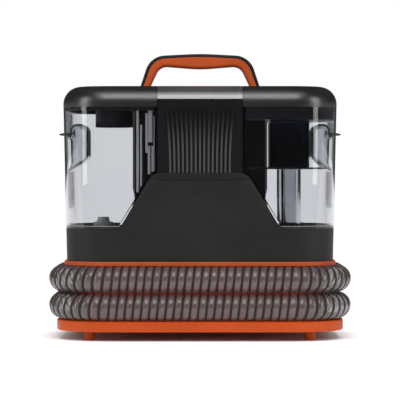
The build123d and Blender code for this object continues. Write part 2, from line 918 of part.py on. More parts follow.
with BuildPart() as column:
    add(column_form(0))
    add(column_form(housing_wall), mode=Mode.SUBTRACT)
    with BuildSketch(Plane.XZ.offset(board_standoff_root)):
        with Locations((0, board_z)):
            with GridLocations(board_width - 2 * board_margin, board_height - 2 * board_margin, 2, 2):
                Circle(standoff_radius)
    extrude(amount=-(board_standoff_root + board_y))
    add(nib_silhouette(0), mode=Mode.SUBTRACT)

with BuildPart() as column_shell:
    add(column.part)
    split(bisect_by=Plane.XZ.offset(-column_split + seam / 2), keep=Keep.TOP)
save(column_shell, "column_shell")
with BuildPart() as rear_cover:
    add(column.part)
    split(bisect_by=Plane.XZ.offset(-column_split - seam / 2), keep=Keep.BOTTOM)
save(rear_cover, "rear_cover")

with BuildPart() as ribbed_panel:
    add(body_form(rib_proud, plateau, cap_bottom))
    add(body_form(ribbed_panel_thickness, plateau, cap_bottom), mode=Mode.SUBTRACT)
    add(block(-neck_half_width, neck_half_width, -BEYOND, 0, plateau, cap_bottom), mode=Mode.INTERSECT)
with BuildPart() as ribs:
    with BuildSketch(Plane.XZ):
        for number in range(rib_count):
            x_low = (number - (rib_count - 1) / 2) * rib_pitch
            x_high = x_low * rib_spread
            with BuildLine():
                left = Spline(
                    (x_low - rib_width / 2, plateau), (x_high - rib_width / 2, cap_bottom - rib_top_gap),
                    tangents=[(0, 1), (x_high - x_low, rib_lean_height)],
                )
                right = Spline(
                    (x_low + rib_width / 2, plateau), (x_high + rib_width / 2, cap_bottom - rib_top_gap),
                    tangents=[(0, 1), (x_high - x_low, rib_lean_height)],
                )
                Line(left @ 0, right @ 0)
                Line(left @ 1, right @ 1)
            make_face()
    extrude(amount=BEYOND)
    add(body_form(0, plateau, cap_bottom), mode=Mode.INTERSECT)
    add(body_form(rib_proud, plateau, cap_bottom), mode=Mode.SUBTRACT)
with BuildPart() as ribbed_front:
    add(ribbed_panel.part)
    add(ribs.part)
save(ribbed_front, "ribbed_panel")


# ---------------------------------------------------------------- top cap, button, switch and handle
def cap_form(inset):
    """The crown's middle, between the lids, drawn in by inset."""
    with BuildPart() as form:
        add(crown_form(inset))
        add(centre_zone(inset, cap_bottom, crown_top), mode=Mode.INTERSECT)
        add(bay(inset), mode=Mode.SUBTRACT)
    return form.part


tenon_x = (handle_foot_half - handle_skin + handle_foot_inner) / 2
handle_top = crown_top + handle_height
with BuildPart() as top_cap:
    add(cap_form(0))
    add(cap_form(crown_wall), mode=Mode.SUBTRACT)
    with BuildSketch(Plane.XY.offset(cap_bottom)):
        with Locations((0, button_y)):
            Circle(button_radius + button_gap)
        with Locations((-tenon_x, 0), (tenon_x, 0)):
            Rectangle(2 * (tenon_half_width + screw_gap), 2 * (tenon_half_depth + screw_gap))
    extrude(amount=crown_height, mode=Mode.SUBTRACT)
save(top_cap, "top_cap")

with BuildPart() as power_button:
    with BuildSketch(Plane.XY.offset(crown_top + button_proud - button_height)):
        with Locations((0, button_y)):
            Circle(button_radius)
    extrude(amount=button_height)
    fillet(power_button.faces().sort_by(Axis.Z)[-1].edges(), radius=button_round)
save(power_button, "power_button")

switch_top = crown_top - crown_wall
switch_low = switch_top - switch_height
with BuildPart() as power_switch:
    add(
        block(
            -switch_half_width, switch_half_width, button_y - switch_half_width, button_y + switch_half_width,
            switch_low, switch_top,
        )
    )
    with BuildSketch(Plane.XY.offset(switch_top)):
        with Locations((0, button_y)):
            Circle(button_radius + button_gap)
    extrude(amount=-(button_height + button_travel), mode=Mode.SUBTRACT)
    with BuildSketch(Plane.XY.offset(switch_low)):
        with Locations((0, button_y)):
            with GridLocations(switch_tab_pitch, 0, 3, 1):
                Rectangle(0.8, 4)  # blade terminals
    extrude(amount=-switch_tab_length)
save(power_switch, "power_switch")


def handle_arch(foot, shoulder, shoulder_z, crown_z, bend, crown_bend):
    """The area under one outline of the handle, down to the crown."""
    with BuildSketch(Plane.XZ) as area:
        with BuildLine():
            FilletPolyline(
                (-foot, crown_top), (-shoulder, shoulder_z), (0, crown_z), (shoulder, shoulder_z),
                (foot, crown_top), radius=[bend, crown_bend, bend],
            )
            Line((foot, crown_top), (-foot, crown_top))
        make_face()
    return area.sketch


outer_arch = handle_arch(
    handle_foot_half, handle_foot_half - handle_splay, handle_top - handle_arch_rise, handle_top,
    handle_shoulder_radius, handle_crown_radius,
)
skin_top = handle_top - handle_skin
skin_arch = handle_arch(
    handle_foot_half - handle_skin, handle_foot_half - handle_skin - handle_splay, skin_top - handle_arch_rise,
    skin_top, handle_skin_radius, handle_crown_radius,
)
grip_arch = handle_arch(
    handle_foot_inner, handle_foot_inner - handle_splay, handle_top - handle_inner_drop,
    handle_top - handle_depth_at_middle, handle_inner_radius, handle_belly_radius,
)
with BuildPart() as handle_frame:
    extrude(outer_arch, amount=handle_half_depth, both=True)
    outer_rims = handle_frame.faces().filter_by(Axis.Y).edges().filter_by(lambda e: e.center().Z > crown_top + cut_over)
    fillet(outer_rims, radius=handle_skin * 0.6)
    extrude(skin_arch, amount=handle_half_depth, both=True, mode=Mode.SUBTRACT)
save(handle_frame, "handle_frame")
with BuildPart() as handle_grip:
    extrude(skin_arch, amount=handle_half_depth, both=True)
    extrude(grip_arch, amount=handle_half_depth, both=True, mode=Mode.SUBTRACT)
    inner_rims = handle_grip.faces().filter_by(Axis.Y).edges().filter_by(lambda e: below_grip(e.center()))
    fillet(inner_rims, radius=handle_grip_round)
    with BuildSketch(Plane.XY.offset(crown_top)):
        with Locations((-tenon_x, 0), (tenon_x, 0)):
            Rectangle(2 * tenon_half_width, 2 * tenon_half_depth)
    extrude(amount=-tenon_length)
save(handle_grip, "handle_grip")


# ---------------------------------------------------------------- tanks
def pocket_form(grow):
    """The finger pocket in a tank's outer side, which hooks up behind its lintel, grown by a wall."""
    with BuildPart() as form:
        with BuildSketch(Plane.XZ):
            with BuildLine():
                FilletPolyline(
                    (BEYOND, pocket_step - pocket_slope * (BEYOND - pocket_inner)), (pocket_inner, pocket_step),
                    (pocket_inner, pocket_top), (pocket_outer, pocket_top), (pocket_outer, pocket_lintel),
                    (BEYOND, pocket_lintel),
                    radius=[pocket_radius, pocket_radius, pocket_hook_radius, pocket_lintel_round],
                )
                Line(
                    (BEYOND, pocket_lintel), (BEYOND, pocket_step - pocket_slope * (BEYOND - pocket_inner))
                )
            make_face()
            if grow:
                offset(amount=grow, mode=Mode.REPLACE)
        extrude(amount=pocket_half_depth + grow, both=True)
        ends = form.faces().filter_by(Axis.Y)
        fillet(ends.edges().filter_by(lambda e: e.center().X < BEYOND), radius=pocket_edge_round + grow)
    return form.part


def tank_form(inset):
    """The room of the right-hand tank, drawn in by inset."""
    with BuildPart() as form:
        add(body_form(inset, deck, lid_bottom))
        add(side_zone(inset, deck, lid_bottom), mode=Mode.INTERSECT)
        add(nib_silhouette(tank_gap + inset), mode=Mode.SUBTRACT)
        add(pocket_form(inset), mode=Mode.SUBTRACT)
    return form.part


def pull_lip():
    """The small wedge above the pocket that the fingers pull on."""
    lip_root = pocket_outer + tank_wall / 2
    lip_low = pocket_lintel + tank_wall
    with BuildPart() as lip:
        with BuildSketch(Plane.XZ):
            with BuildLine():
                Polyline(
                    (lip_root, lip_low), (lip_reach, lip_low), (lip_reach, lip_low + lip_edge),
                    (lip_root, lip_low + lip_height), close=True,
                )
            make_face()
        extrude(amount=pocket_half_depth - lip_margin, both=True)
    return lip.part


with BuildPart() as right_tank:
    add(tank_form(0))
    add(pull_lip())
    add(tank_form(tank_wall), mode=Mode.SUBTRACT)

tank_floor = deck + tank_gap + tank_wall
with BuildPart() as dirty_tank_shell:
    add(right_tank.part)
    with BuildSketch(Plane.XY.offset(deck)):
        with Locations((dock_x, dock_y)):
            Circle(recovery_radius)
        with Locations((dock_x, air_dock_y)):
            Circle(air_radius)
    extrude(amount=tank_wall + nib_heel_radius, mode=Mode.SUBTRACT)
save(dirty_tank_shell, "dirty_tank_shell")

with BuildPart() as clean_tank_shell:
    add(mirror(right_tank.part, about=Plane.YZ))
    with BuildSketch(Plane.XY.offset(deck)):
        with Locations((-valve_x, dock_y)):
            Circle(valve_radius)
    extrude(amount=tank_wall + nib_heel_radius, mode=Mode.SUBTRACT)
save(clean_tank_shell, "clean_tank_shell")


# ---------------------------------------------------------------- docks under the tanks
def dock(x, y, bore, floor_bore):
    """A socket hung under the deck, that a tank's pipe drops into, open below to its duct."""
    with BuildPart() as socket:
        with BuildSketch(Plane.XY.offset(dock_floor)):
            with Locations((x, y)):
                Circle(bore + dock_wall)
        extrude(amount=deck - dock_seam - dock_floor)
        with BuildSketch(Plane.XY.offset(deck - housing_wall)):
            with Locations((x, y)):
                Circle(bore + dock_wall + dock_collar)
        extrude(amount=-dock_collar)
        with BuildSketch(Plane.XY.offset(dock_floor + dock_floor_wall)):
            with Locations((x, y)):
                Circle(bore)
        extrude(amount=BEYOND, mode=Mode.SUBTRACT)
        with BuildSketch(Plane.XY.offset(dock_floor)):
            with Locations((x, y)):
                Circle(floor_bore)
        extrude(amount=dock_floor_wall, mode=Mode.SUBTRACT)
    return socket


recovery_dock = dock(dock_x, dock_y, recovery_radius + dock_gap, recovery_radius - recovery_wall)
save(recovery_dock, "recovery_dock")
air_dock = dock(dock_x, air_dock_y, air_radius + dock_gap, air_radius - recovery_wall)
save(air_dock, "air_dock")
clean_dock = dock(-valve_x, dock_y, valve_radius + dock_gap, 2 * valve_stem_radius)
save(clean_dock, "clean_dock")


# ---------------------------------------------------------------- what the dirty tank holds
def tank_pipe(y, outer, low, high):
    """An upright pipe through the dirty tank's floor, with a collar that seats on the floor."""
    with BuildPart() as riser:
        add(pipe(dock_x, y, outer + pipe_collar, outer - recovery_wall, tank_floor, tank_floor + pipe_collar))
        add(nib_silhouette(tank_gap + tank_wall), mode=Mode.SUBTRACT)
        add(pipe(dock_x, y, outer, outer - recovery_wall, low, high))
    return riser


recovery_pipe = tank_pipe(dock_y, recovery_radius, pipe_foot, pipe_top)
save(recovery_pipe, "recovery_pipe")
air_pipe = tank_pipe(air_dock_y, air_radius, pipe_foot, pipe_top)
with BuildPart() as air_pipe_with_windows:
    add(air_pipe.part)
    with BuildSketch(Plane.XZ):
        with Locations((dock_x, pipe_top - air_window_drop)):
            Rectangle(air_radius, air_window_height)
    extrude(amount=air_radius + cut_over, both=True, mode=Mode.SUBTRACT)
    add(
        pipe(
            dock_x, air_dock_y, air_radius + float_rest_width, air_radius - recovery_wall,
            float_low - float_rest_gap - float_rest, float_low - float_rest_gap,
        )
    )
    add(disc(dock_x, air_dock_y, air_radius, pipe_top, pipe_top + air_pipe_cap))
save(air_pipe_with_windows, "air_pipe")

with BuildPart() as float_ring:
    add(pipe(dock_x, air_dock_y, float_radius, air_radius + float_gap, float_low, float_low + float_height))
    chamfer(float_ring.faces().sort_by(Axis.Z)[-1].edges(), length=float_chamfer)
save(float_ring, "float")

with BuildPart() as dock_seals:
    for seal_y, seal_inner in ((dock_y, recovery_radius), (air_dock_y, air_radius)):
        add(
            pipe(
                dock_x, seal_y, seal_inner + dock_gap - seal_gap, seal_inner,
                deck - seal_drop, deck - seal_drop + seal_height,
            )
        )
save(dock_seals, "dock_seals")

# ---------------------------------------------------------------- lids
def lid_form(inset):
    """The crown over the right-hand tank, drawn in by inset."""
    with BuildPart() as form:
        add(crown_form(inset))
        add(side_zone(inset, lid_bottom, crown_top), mode=Mode.INTERSECT)
    return form.part


def skirt_form(inset, low, high):
    """The room just inside the right-hand tank's walls, near its mouth."""
    with BuildPart() as form:
        add(body_form(inset, low, high))
        add(side_zone(inset, low, high), mode=Mode.INTERSECT)
    return form.part


skirt_inset = tank_wall + lid_skirt_gap
with BuildPart() as right_lid:
    add(lid_form(0))
    add(lid_form(crown_wall), mode=Mode.SUBTRACT)
with BuildPart() as skirt:
    add(skirt_form(skirt_inset, lid_bottom - lid_skirt, lid_bottom))
    add(skirt_form(skirt_inset + crown_wall, lid_bottom - lid_skirt, lid_bottom), mode=Mode.SUBTRACT)
    add(skirt_form(crown_wall / 2, lid_bottom, lid_bottom + lid_skirt_root))
    add(skirt_form(skirt_inset + crown_wall, lid_bottom, lid_bottom + lid_skirt_root), mode=Mode.SUBTRACT)

with BuildPart() as dirty_lid:
    add(right_lid.part)
    add(skirt.part)
save(dirty_lid, "dirty_lid")

with BuildPart() as clean_lid:
    add(mirror(right_lid.part, about=Plane.YZ))
    add(mirror(skirt.part, about=Plane.YZ))
    add(disc(-filler_x, 0, filler_bore, lid_bottom, BEYOND), mode=Mode.SUBTRACT)
    add(disc(-filler_x, 0, filler_bore + filler_wall, 0, crown_top - crown_wall), mode=Mode.SUBTRACT)
save(clean_lid, "clean_lid")

with BuildPart() as filler_neck:
    add(pipe(-filler_x, 0, filler_bore + filler_wall, filler_bore, filler_low, crown_top - crown_wall))
save(filler_neck, "filler_neck")

cap_seat = crown_top - cap_thickness
with BuildPart() as filler_cap:
    add(disc(-filler_x, 0, filler_bore - cap_gap, cap_seat, crown_top))
    fillet(filler_cap.faces().sort_by(Axis.Z)[-1].edges(), radius=cap_round)
    add(disc(-filler_x, 0, filler_bore - cap_plug_wall, cap_seat - cap_plug_length, cap_seat))
    with BuildSketch(Plane.XY.offset(crown_top)):
        with Locations((-filler_x, 0)):
            with GridLocations(0, filler_bore, 1, 2):
                SlotOverall(filler_bore * 1.1, filler_bore * 0.55)
    extrude(amount=-cap_grip_depth, mode=Mode.SUBTRACT)
save(filler_cap, "filler_cap")

# Collar, separator hood and baffle hang under the dirty lid
with BuildPart() as lid_collar:
    add(skirt_form(skirt_inset + collar_gap, collar_low, lid_bottom - lid_skirt))
    add(
        skirt_form(skirt_inset + collar_gap + crown_wall, collar_low + crown_wall, lid_bottom),
        mode=Mode.SUBTRACT,
    )
save(lid_collar, "lid_collar")

with BuildPart() as separator_hood:
    add(block(hood_inner, hood_outer, hood_front, hood_back, hood_low, collar_low))
    hood_corners = separator_hood.edges().filter_by(Axis.Z)
    fillet(hood_corners, radius=hood_round)
    add(
        block(
            hood_inner + hood_wall, hood_outer - hood_wall, hood_front + hood_wall, hood_back - hood_wall,
            hood_low, collar_low - hood_wall,
        ),
        mode=Mode.SUBTRACT,
    )
save(separator_hood, "separator_hood")

with BuildPart() as baffle_plate:
    add(
        block(
            neck_half_width + baffle_side_gap, body_half_width - baffle_outer_gap, -BEYOND, hood_back + baffle_tail,
            hood_low - baffle_thickness, hood_low,
        )
    )
    add(tank_form(tank_wall + baffle_gap), mode=Mode.INTERSECT)
    pocket_room = pocket_half_depth + tank_wall + baffle_gap
    add(
        block(pocket_inner - tank_wall - baffle_gap, BEYOND, -pocket_room, pocket_room, 0, BEYOND),
        mode=Mode.SUBTRACT,
    )
    add(
        block(
            hood_inner + hood_wall, hood_outer - hood_wall, hood_front + hood_wall, hood_back - hood_wall,
            0, BEYOND,
        ),
        mode=Mode.SUBTRACT,
    )
save(baffle_plate, "baffle_plate")

# ---------------------------------------------------------------- the clean tank's valve
valve_low = deck - valve_sink
valve_top = tank_floor + valve_rise
with BuildPart() as valve_body:
    add(pipe(-valve_x, dock_y, valve_radius, valve_bore, valve_low, valve_top))
    add(pipe(-valve_x, dock_y, valve_radius + valve_collar, valve_bore, tank_floor, tank_floor + valve_collar_height))
    with BuildSketch(Plane.XY.offset(valve_low)):
        with Locations((-valve_x, dock_y)):
            Rectangle(2 * valve_bore + cut_over, valve_bridge_width)
            Circle(valve_stem_radius + valve_boss)
            Circle(valve_stem_radius + running_gap, mode=Mode.SUBTRACT)
    extrude(amount=valve_bridge)
    add(disc(-valve_x, dock_y, valve_stem_radius + running_gap, valve_low, valve_top), mode=Mode.SUBTRACT)
save(valve_body, "valve_body")
with BuildPart() as valve_stem:
    add(disc(-valve_x, dock_y, valve_stem_radius, valve_low - valve_stem_reach, valve_top))
    add(disc(-valve_x, dock_y, valve_radius - valve_head_gap, valve_top, valve_top + valve_stem_reach))
save(valve_stem, "valve_stem")

# ---------------------------------------------------------------- fan motor, ducts, pump and board
duct_top = flange_top + duct_height
duct_x_high = dock_x + air_radius + duct_wall + cut_over
duct_y_low = air_dock_y - duct_half_depth
duct_y_high = motor_y + duct_half_depth
with BuildPart() as air_duct:
    add(block(-duct_overhang, duct_x_high, duct_y_low, duct_y_high, flange_top, duct_top))
    add(
        block(
            duct_wall - duct_overhang, duct_x_high - duct_wall, duct_y_low + duct_wall, duct_y_high - duct_wall,
            flange_top + duct_wall, duct_top - duct_wall,
        ),
        mode=Mode.SUBTRACT,
    )
    with BuildSketch(Plane.XY.offset(duct_top - duct_wall - cut_over)):
        with Locations((dock_x, air_dock_y), (0, motor_y)):
            Circle(air_radius - recovery_wall)
    extrude(amount=BEYOND, mode=Mode.SUBTRACT)
    add(pipe(dock_x, air_dock_y, air_radius, air_radius - recovery_wall, duct_top - duct_wall / 2, dock_floor))
save(air_duct, "air_duct")

fan_top = duct_top + fan_housing_height
fan_housing_radius = fan_radius + fan_room
with BuildPart() as fan_housing:
    add(disc(0, motor_y, fan_housing_radius, duct_top, fan_top))
    add(
        disc(0, motor_y, fan_housing_radius - duct_wall, duct_top + duct_wall, fan_top - duct_wall),
        mode=Mode.SUBTRACT,
    )
    add(disc(0, motor_y, air_radius - recovery_wall, 0, duct_top + duct_wall + cut_over), mode=Mode.SUBTRACT)
    add(disc(0, motor_y, fan_shaft_hole, fan_top - duct_wall - cut_over, BEYOND), mode=Mode.SUBTRACT)
    add(
        block(
            -BEYOND, -fan_outlet_inset, motor_y + fan_outlet_front, motor_y + fan_outlet_back,
            duct_top + fan_outlet_margin, fan_top - fan_outlet_margin,
        ),
        mode=Mode.SUBTRACT,
    )
save(fan_housing, "fan_housing")

motor_low = fan_top + mount_height
motor_top = motor_low + motor_height
mount_outer = motor_radius + mount_overhang
with BuildPart() as motor_mount:
    add(pipe(0, motor_y, mount_outer, mount_outer - mount_width, fan_top, motor_low))
save(motor_mount, "motor_mount")

lower_bearing = motor_low
upper_bearing = motor_top - motor_wall - bearing_height
seat_radius = bearing_radius + bearing_seat
with BuildPart() as fan_motor:
    add(disc(0, motor_y, motor_radius, motor_low, motor_top))
    fillet(fan_motor.faces().sort_by(Axis.Z)[-1].edges(), radius=motor_round)
    add(
        disc(0, motor_y, motor_radius - motor_wall, motor_low + motor_wall, motor_top - motor_wall),
        mode=Mode.SUBTRACT,
    )
    add(disc(0, motor_y, bearing_radius, 0, lower_bearing + bearing_height), mode=Mode.SUBTRACT)
    add(pipe(0, motor_y, seat_radius, bearing_radius, motor_low + motor_wall / 2, lower_bearing + bearing_height))
    add(pipe(0, motor_y, seat_radius, bearing_radius, upper_bearing, motor_top - motor_wall / 2))
    with BuildSketch(Plane.XY.offset(motor_top - motor_wall - cut_over)):
        with Locations((0, motor_y)):
            with PolarLocations(motor_vent_circle, motor_vents):
                SlotOverall(motor_vent_length, motor_vent_width, rotation=90)
    extrude(amount=BEYOND, mode=Mode.SUBTRACT)
save(fan_motor, "fan_motor")

with BuildPart() as motor_bearings:
    for low in (lower_bearing, upper_bearing):
        add(pipe(0, motor_y, bearing_radius, shaft_radius + running_gap, low, low + bearing_height))
save(motor_bearings, "motor_bearings")

impeller_foot = duct_top + impeller_low
impeller_face = fan_top - impeller_drop
with BuildPart() as motor_shaft:
    add(disc(0, motor_y, shaft_radius, impeller_foot, motor_top - motor_wall - cut_over))
    add(
        disc(
            0, motor_y, motor_radius - armature_gap, motor_low + armature_inset, motor_top - armature_inset
        )
    )
save(motor_shaft, "motor_shaft")

with BuildPart() as fan_impeller:
    add(pipe(0, motor_y, fan_radius, shaft_radius, impeller_face, impeller_face + impeller_plate))
    add(pipe(0, motor_y, impeller_hub, shaft_radius, impeller_foot, impeller_face))
    with BuildSketch(Plane.XY.offset(impeller_foot)):
        with Locations((0, motor_y)):
            with PolarLocations(0, fan_blades):
                with Locations(Location((fan_radius * 0.6, 0), blade_pitch_angle)):
                    Rectangle(fan_radius * 0.72, blade_thickness)
    extrude(amount=impeller_face - impeller_foot)
    add(disc(0, motor_y, fan_radius, duct_top, fan_top), mode=Mode.INTERSECT)
    add(disc(0, motor_y, shaft_radius, duct_top, fan_top), mode=Mode.SUBTRACT)
save(fan_impeller, "fan_impeller")

duct_route = [(dock_x, dock_y, dock_floor), (dock_x, dock_y, lower_turn_z), (*hose_start, lower_turn_z)]
duct_bend = port_reach - cut_over
with BuildPart() as recovery_duct:
    add(tube_along(duct_route, [duct_bend], recovery_radius))
    add(tube_along(duct_route, [duct_bend], recovery_radius - recovery_wall), mode=Mode.SUBTRACT)
save(recovery_duct, "recovery_duct")

pump_end = pump_front + pump_length
pump_z = flange_top + pump_radius + pump_foot_lift
pump_outlet_x = pump_x + pump_radius + pump_port_length
pump_inlet_y = pump_end + pump_port_length
with BuildPart() as water_pump:
    add(rod_along_y(pump_x, pump_z, pump_radius, pump_front, pump_end))
    add(
        block(
            pump_x - pump_foot_half, pump_x + pump_foot_half, pump_front + pump_port_length,
            pump_end - pump_port_length, flange_top, flange_top + pump_foot_height,
        )
    )
    add(rod_along_x(pump_x, pump_outlet_x, spray_line_y, pump_z, pump_port_radius))
    add(rod_along_y(pump_x, pump_z, pump_port_radius, pump_end, pump_inlet_y))
save(water_pump, "water_pump")

with BuildPart() as pump_inlet_tube:
    add(
        tube_along(
            [(pump_x, pump_inlet_y, pump_z), (pump_x, dock_y - spray_bend, pump_z), (-valve_x, dock_y, pump_z)],
            [spray_bend], spray_line_radius,
        )
    )
    add(disc(-valve_x, dock_y, valve_radius, pump_z - 2 * spray_line_radius, dock_floor))
save(pump_inlet_tube, "pump_inlet_tube")

spray_line_z = lower_turn_z + spray_line_rise
with BuildPart() as pump_outlet_tube:
    add(
        tube_along(
            [
                (pump_outlet_x, spray_line_y, pump_z), (spray_line_x, spray_line_y, pump_z),
                (spray_line_x, spray_line_y, spray_line_z), (spray_line_x, dock_y, spray_line_z),
                (dock_x - recovery_radius - spray_line_end_gap, dock_y, spray_line_z),
            ],
            [spray_bend, spray_bend, spray_bend], spray_line_radius,
        )
    )
save(pump_outlet_tube, "pump_outlet_tube")

board_back = board_y + board_thickness
with BuildPart() as control_board:
    add(
        block(
            -board_width / 2, board_width / 2, board_y, board_back,
            board_z - board_height / 2, board_z + board_height / 2,
        )
    )
    with BuildSketch(Plane.XZ.offset(-board_back)):
        with Locations((-board_width / 4, board_z)):
            Rectangle(14, 24)  # transformer
    extrude(amount=-12.4)
    with BuildSketch(Plane.XZ.offset(-board_back)):
        with Locations((board_width / 4, board_z + board_margin)):
            Rectangle(16, 18)  # relay
    extrude(amount=-8.4)
    with BuildSketch(Plane.XZ.offset(-board_back)):
        with Locations((board_width / 4, board_z - 3 * board_margin)):
            Circle(5)  # capacitor
    extrude(amount=-16.4)
save(control_board, "control_board")

# ---------------------------------------------------------------- hand tool, docked in the bay
cuff_top = hose_tail_top + cuff_neck
with BuildPart() as hose_cuff:
    add(disc(0, hose_tail_y, hose_radius + cuff_wall, hose_tail_top - cuff_lap, cuff_top))
    chamfer(hose_cuff.edges().sort_by(Axis.Z)[0], length=cuff_chamfer)
    add(disc(0, hose_tail_y, hose_radius + running_gap, 0, hose_tail_top), mode=Mode.SUBTRACT)
    add(disc(0, hose_tail_y, hose_radius - cuff_step, hose_tail_top - cut_over, BEYOND), mode=Mode.SUBTRACT)
save(hose_cuff, "hose_cuff")

tool_bore_y = hose_tail_y - tool_bore_offset
grip_top = cuff_top + tool_grip_length
trigger_back = hose_tail_y + tool_grip_radius + trigger_proud
trigger_low = cuff_top + trigger_rise
trigger_top = trigger_low + trigger_height
trigger_pivot_y = trigger_back - trigger_pivot_depth
trigger_pivot_z = trigger_top - trigger_pivot_drop
trigger_side = trigger_half_width + trigger_gap
with BuildPart() as tool_handle:
    add(disc(0, hose_tail_y, tool_grip_radius, cuff_top, grip_top))
    add(disc(0, tool_bore_y, tool_bore_radius, cuff_top - cut_over, grip_top + cut_over), mode=Mode.SUBTRACT)
    add(
        block(
            -trigger_side, trigger_side, trigger_back - trigger_depth - trigger_room, BEYOND,
            trigger_low - trigger_foot_gap, trigger_top + trigger_gap * 10,
        ),
        mode=Mode.SUBTRACT,
    )
    add(
        rod_along_x(-trigger_pin_half, trigger_pin_half, trigger_pivot_y, trigger_pivot_z, trigger_pin_radius),
        mode=Mode.SUBTRACT,
    )
save(tool_handle, "tool_handle")

with BuildPart() as trigger:
    add(
        block(
            -trigger_half_width, trigger_half_width, trigger_back - trigger_depth, trigger_back,
            trigger_low, trigger_top,
        )
    )
    fillet(trigger.edges().filter_by(Axis.Z), radius=trigger_round)
    add(
        rod_along_x(-BEYOND, BEYOND, trigger_pivot_y, trigger_pivot_z, trigger_pin_radius + running_gap),
        mode=Mode.SUBTRACT,
    )
save(trigger, "trigger")
with BuildPart() as trigger_pin:
    add(rod_along_x(-trigger_pin_half, trigger_pin_half, trigger_pivot_y, trigger_pivot_z, trigger_pin_radius))
save(trigger_pin, "trigger_pin")


def head_form(inset):
    """The tool's flared head, from its round neck to its wide mouth, drawn in by inset."""
    neck = tool_grip_radius - inset
    wide, deep, corner = head_width - 2 * inset, head_depth - 2 * inset, head_corner - inset
    with BuildPart() as form:
        with BuildSketch(Plane.XY.offset(grip_top)):
            with Locations((0, hose_tail_y)):
                RectangleRounded(2 * neck, 2 * neck, neck * 0.98)
        with BuildSketch(Plane.XY.offset(head_shoulder)):
            with Locations((0, hose_tail_y)):
                RectangleRounded(wide, deep, corner)
        loft()
        with BuildSketch(Plane.XY.offset(head_shoulder)):
            with Locations((0, hose_tail_y)):
                RectangleRounded(wide, deep, corner)
        extrude(amount=crown_top - head_shoulder)
    return form.part


with BuildPart() as tool_head:
    add(head_form(0))
    add(head_form(head_wall), mode=Mode.SUBTRACT)
save(tool_head, "tool_head")

head_front = hose_tail_y - head_depth / 2
brush_half = head_width / 2 - brush_margin
with BuildPart() as tool_brush:
    add(
        block(
            -brush_half, brush_half, head_front - brush_depth, head_front,
            head_shoulder + cut_over, crown_top - brush_stock_gap,
        )
    )
    add(
        block(
            brush_taper - brush_half, brush_half - brush_taper, head_front - brush_tuft_gap,
            head_front - brush_root, head_shoulder + brush_margin, crown_top,
        )
    )
save(tool_brush, "tool_brush")

nozzle_top = head_shoulder - nozzle_drop
with BuildPart() as spray_nozzle:
    add(
        block(
            -nozzle_half_width, nozzle_half_width, head_front - nozzle_depth, hose_tail_y,
            nozzle_top - nozzle_height, nozzle_top,
        )
    )
    add(head_form(0), mode=Mode.SUBTRACT)
save(spray_nozzle, "spray_nozzle")

clip_low = cuff_top + clip_rise
with BuildPart() as tool_clip:
    add(
        block(
            -clip_half_width, clip_half_width, bay_floor, hose_tail_y + clip_reach, clip_low, clip_low + clip_height
        )
    )
    add(disc(0, hose_tail_y, tool_grip_radius + running_gap, 0, BEYOND), mode=Mode.SUBTRACT)
    jaw_tips = tool_clip.edges().filter_by(Axis.Z).filter_by(lambda e: e.center().Y > hose_tail_y)
    fillet(jaw_tips, radius=clip_round)
save(tool_clip, "tool_clip")
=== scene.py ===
"""Looks of the portable spot extractor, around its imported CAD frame. Metres, +Z up, front towards -Y."""

import json
import math

import bmesh
import bpy
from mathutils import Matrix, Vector


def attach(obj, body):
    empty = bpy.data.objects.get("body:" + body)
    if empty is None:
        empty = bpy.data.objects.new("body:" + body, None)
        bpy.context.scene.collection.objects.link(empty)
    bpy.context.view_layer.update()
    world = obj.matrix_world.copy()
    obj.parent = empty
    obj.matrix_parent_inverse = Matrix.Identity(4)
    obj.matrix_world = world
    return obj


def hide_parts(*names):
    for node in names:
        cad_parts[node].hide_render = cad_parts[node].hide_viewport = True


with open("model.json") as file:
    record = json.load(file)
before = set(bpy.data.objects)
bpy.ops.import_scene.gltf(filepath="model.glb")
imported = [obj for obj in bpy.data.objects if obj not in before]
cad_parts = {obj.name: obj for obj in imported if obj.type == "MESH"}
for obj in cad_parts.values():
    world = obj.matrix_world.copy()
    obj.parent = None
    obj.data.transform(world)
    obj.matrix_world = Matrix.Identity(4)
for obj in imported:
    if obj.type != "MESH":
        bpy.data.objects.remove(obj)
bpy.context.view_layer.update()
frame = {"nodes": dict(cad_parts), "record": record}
nodes = frame["nodes"]

# ------------------------------------------------------------------ camera
CAMERA_DISTANCE = 2.6
CAMERA_HEIGHT = 0.191
LENS = 198.7
LENS_DROP = -0.0675


def add_camera():
    """A long lens, level, a little above the middle of the machine."""
    data = bpy.data.cameras.new("camera")
    data.lens = LENS
    data.sensor_width = 36
    data.shift_y = LENS_DROP
    data.clip_end = 60
    camera = bpy.data.objects.new("camera", data)
    camera.location = (0, -CAMERA_DISTANCE, CAMERA_HEIGHT)
    camera.rotation_euler = (math.radians(90), 0, 0)
    bpy.context.scene.collection.objects.link(camera)
    bpy.context.scene.camera = camera


add_camera()

# ------------------------------------------------------------------ suction hose
HOSE_LENGTH = 1.712
RIB_PITCH = 0.0092
RIB_DEPTH = 0.0019
RIB_RADIUS = 0.0153
RIB_STEPS = 10
RIB_SQUARENESS = 2.6
RING_STEPS = 36
LOWER_TURN = 0.0385
UPPER_TURN = 0.0695
HALF_WIDTH = 0.1595
HALF_DEPTH = 0.0965
TURN_RADIUS = 0.0555
TAIL_Y = 0.0945
TAIL_TOP = 0.136


def corner_points(x_side, y_side, side_first, z):
    """Three control points that take the hose round a corner of the drum in equal steps."""
    centre_x = x_side * (HALF_WIDTH - TURN_RADIUS)
    centre_y = y_side * (HALF_DEPTH - TURN_RADIUS)
    reach = TURN_RADIUS / math.cos(math.radians(15))
    angles = (15, 45, 75) if side_first else (75, 45, 15)
    points = []
    for angle in angles:
        across = x_side * reach * math.cos(math.radians(angle))
        along = y_side * reach * math.sin(math.radians(angle))
        points.append((centre_x + across, centre_y + along, z))
    return points


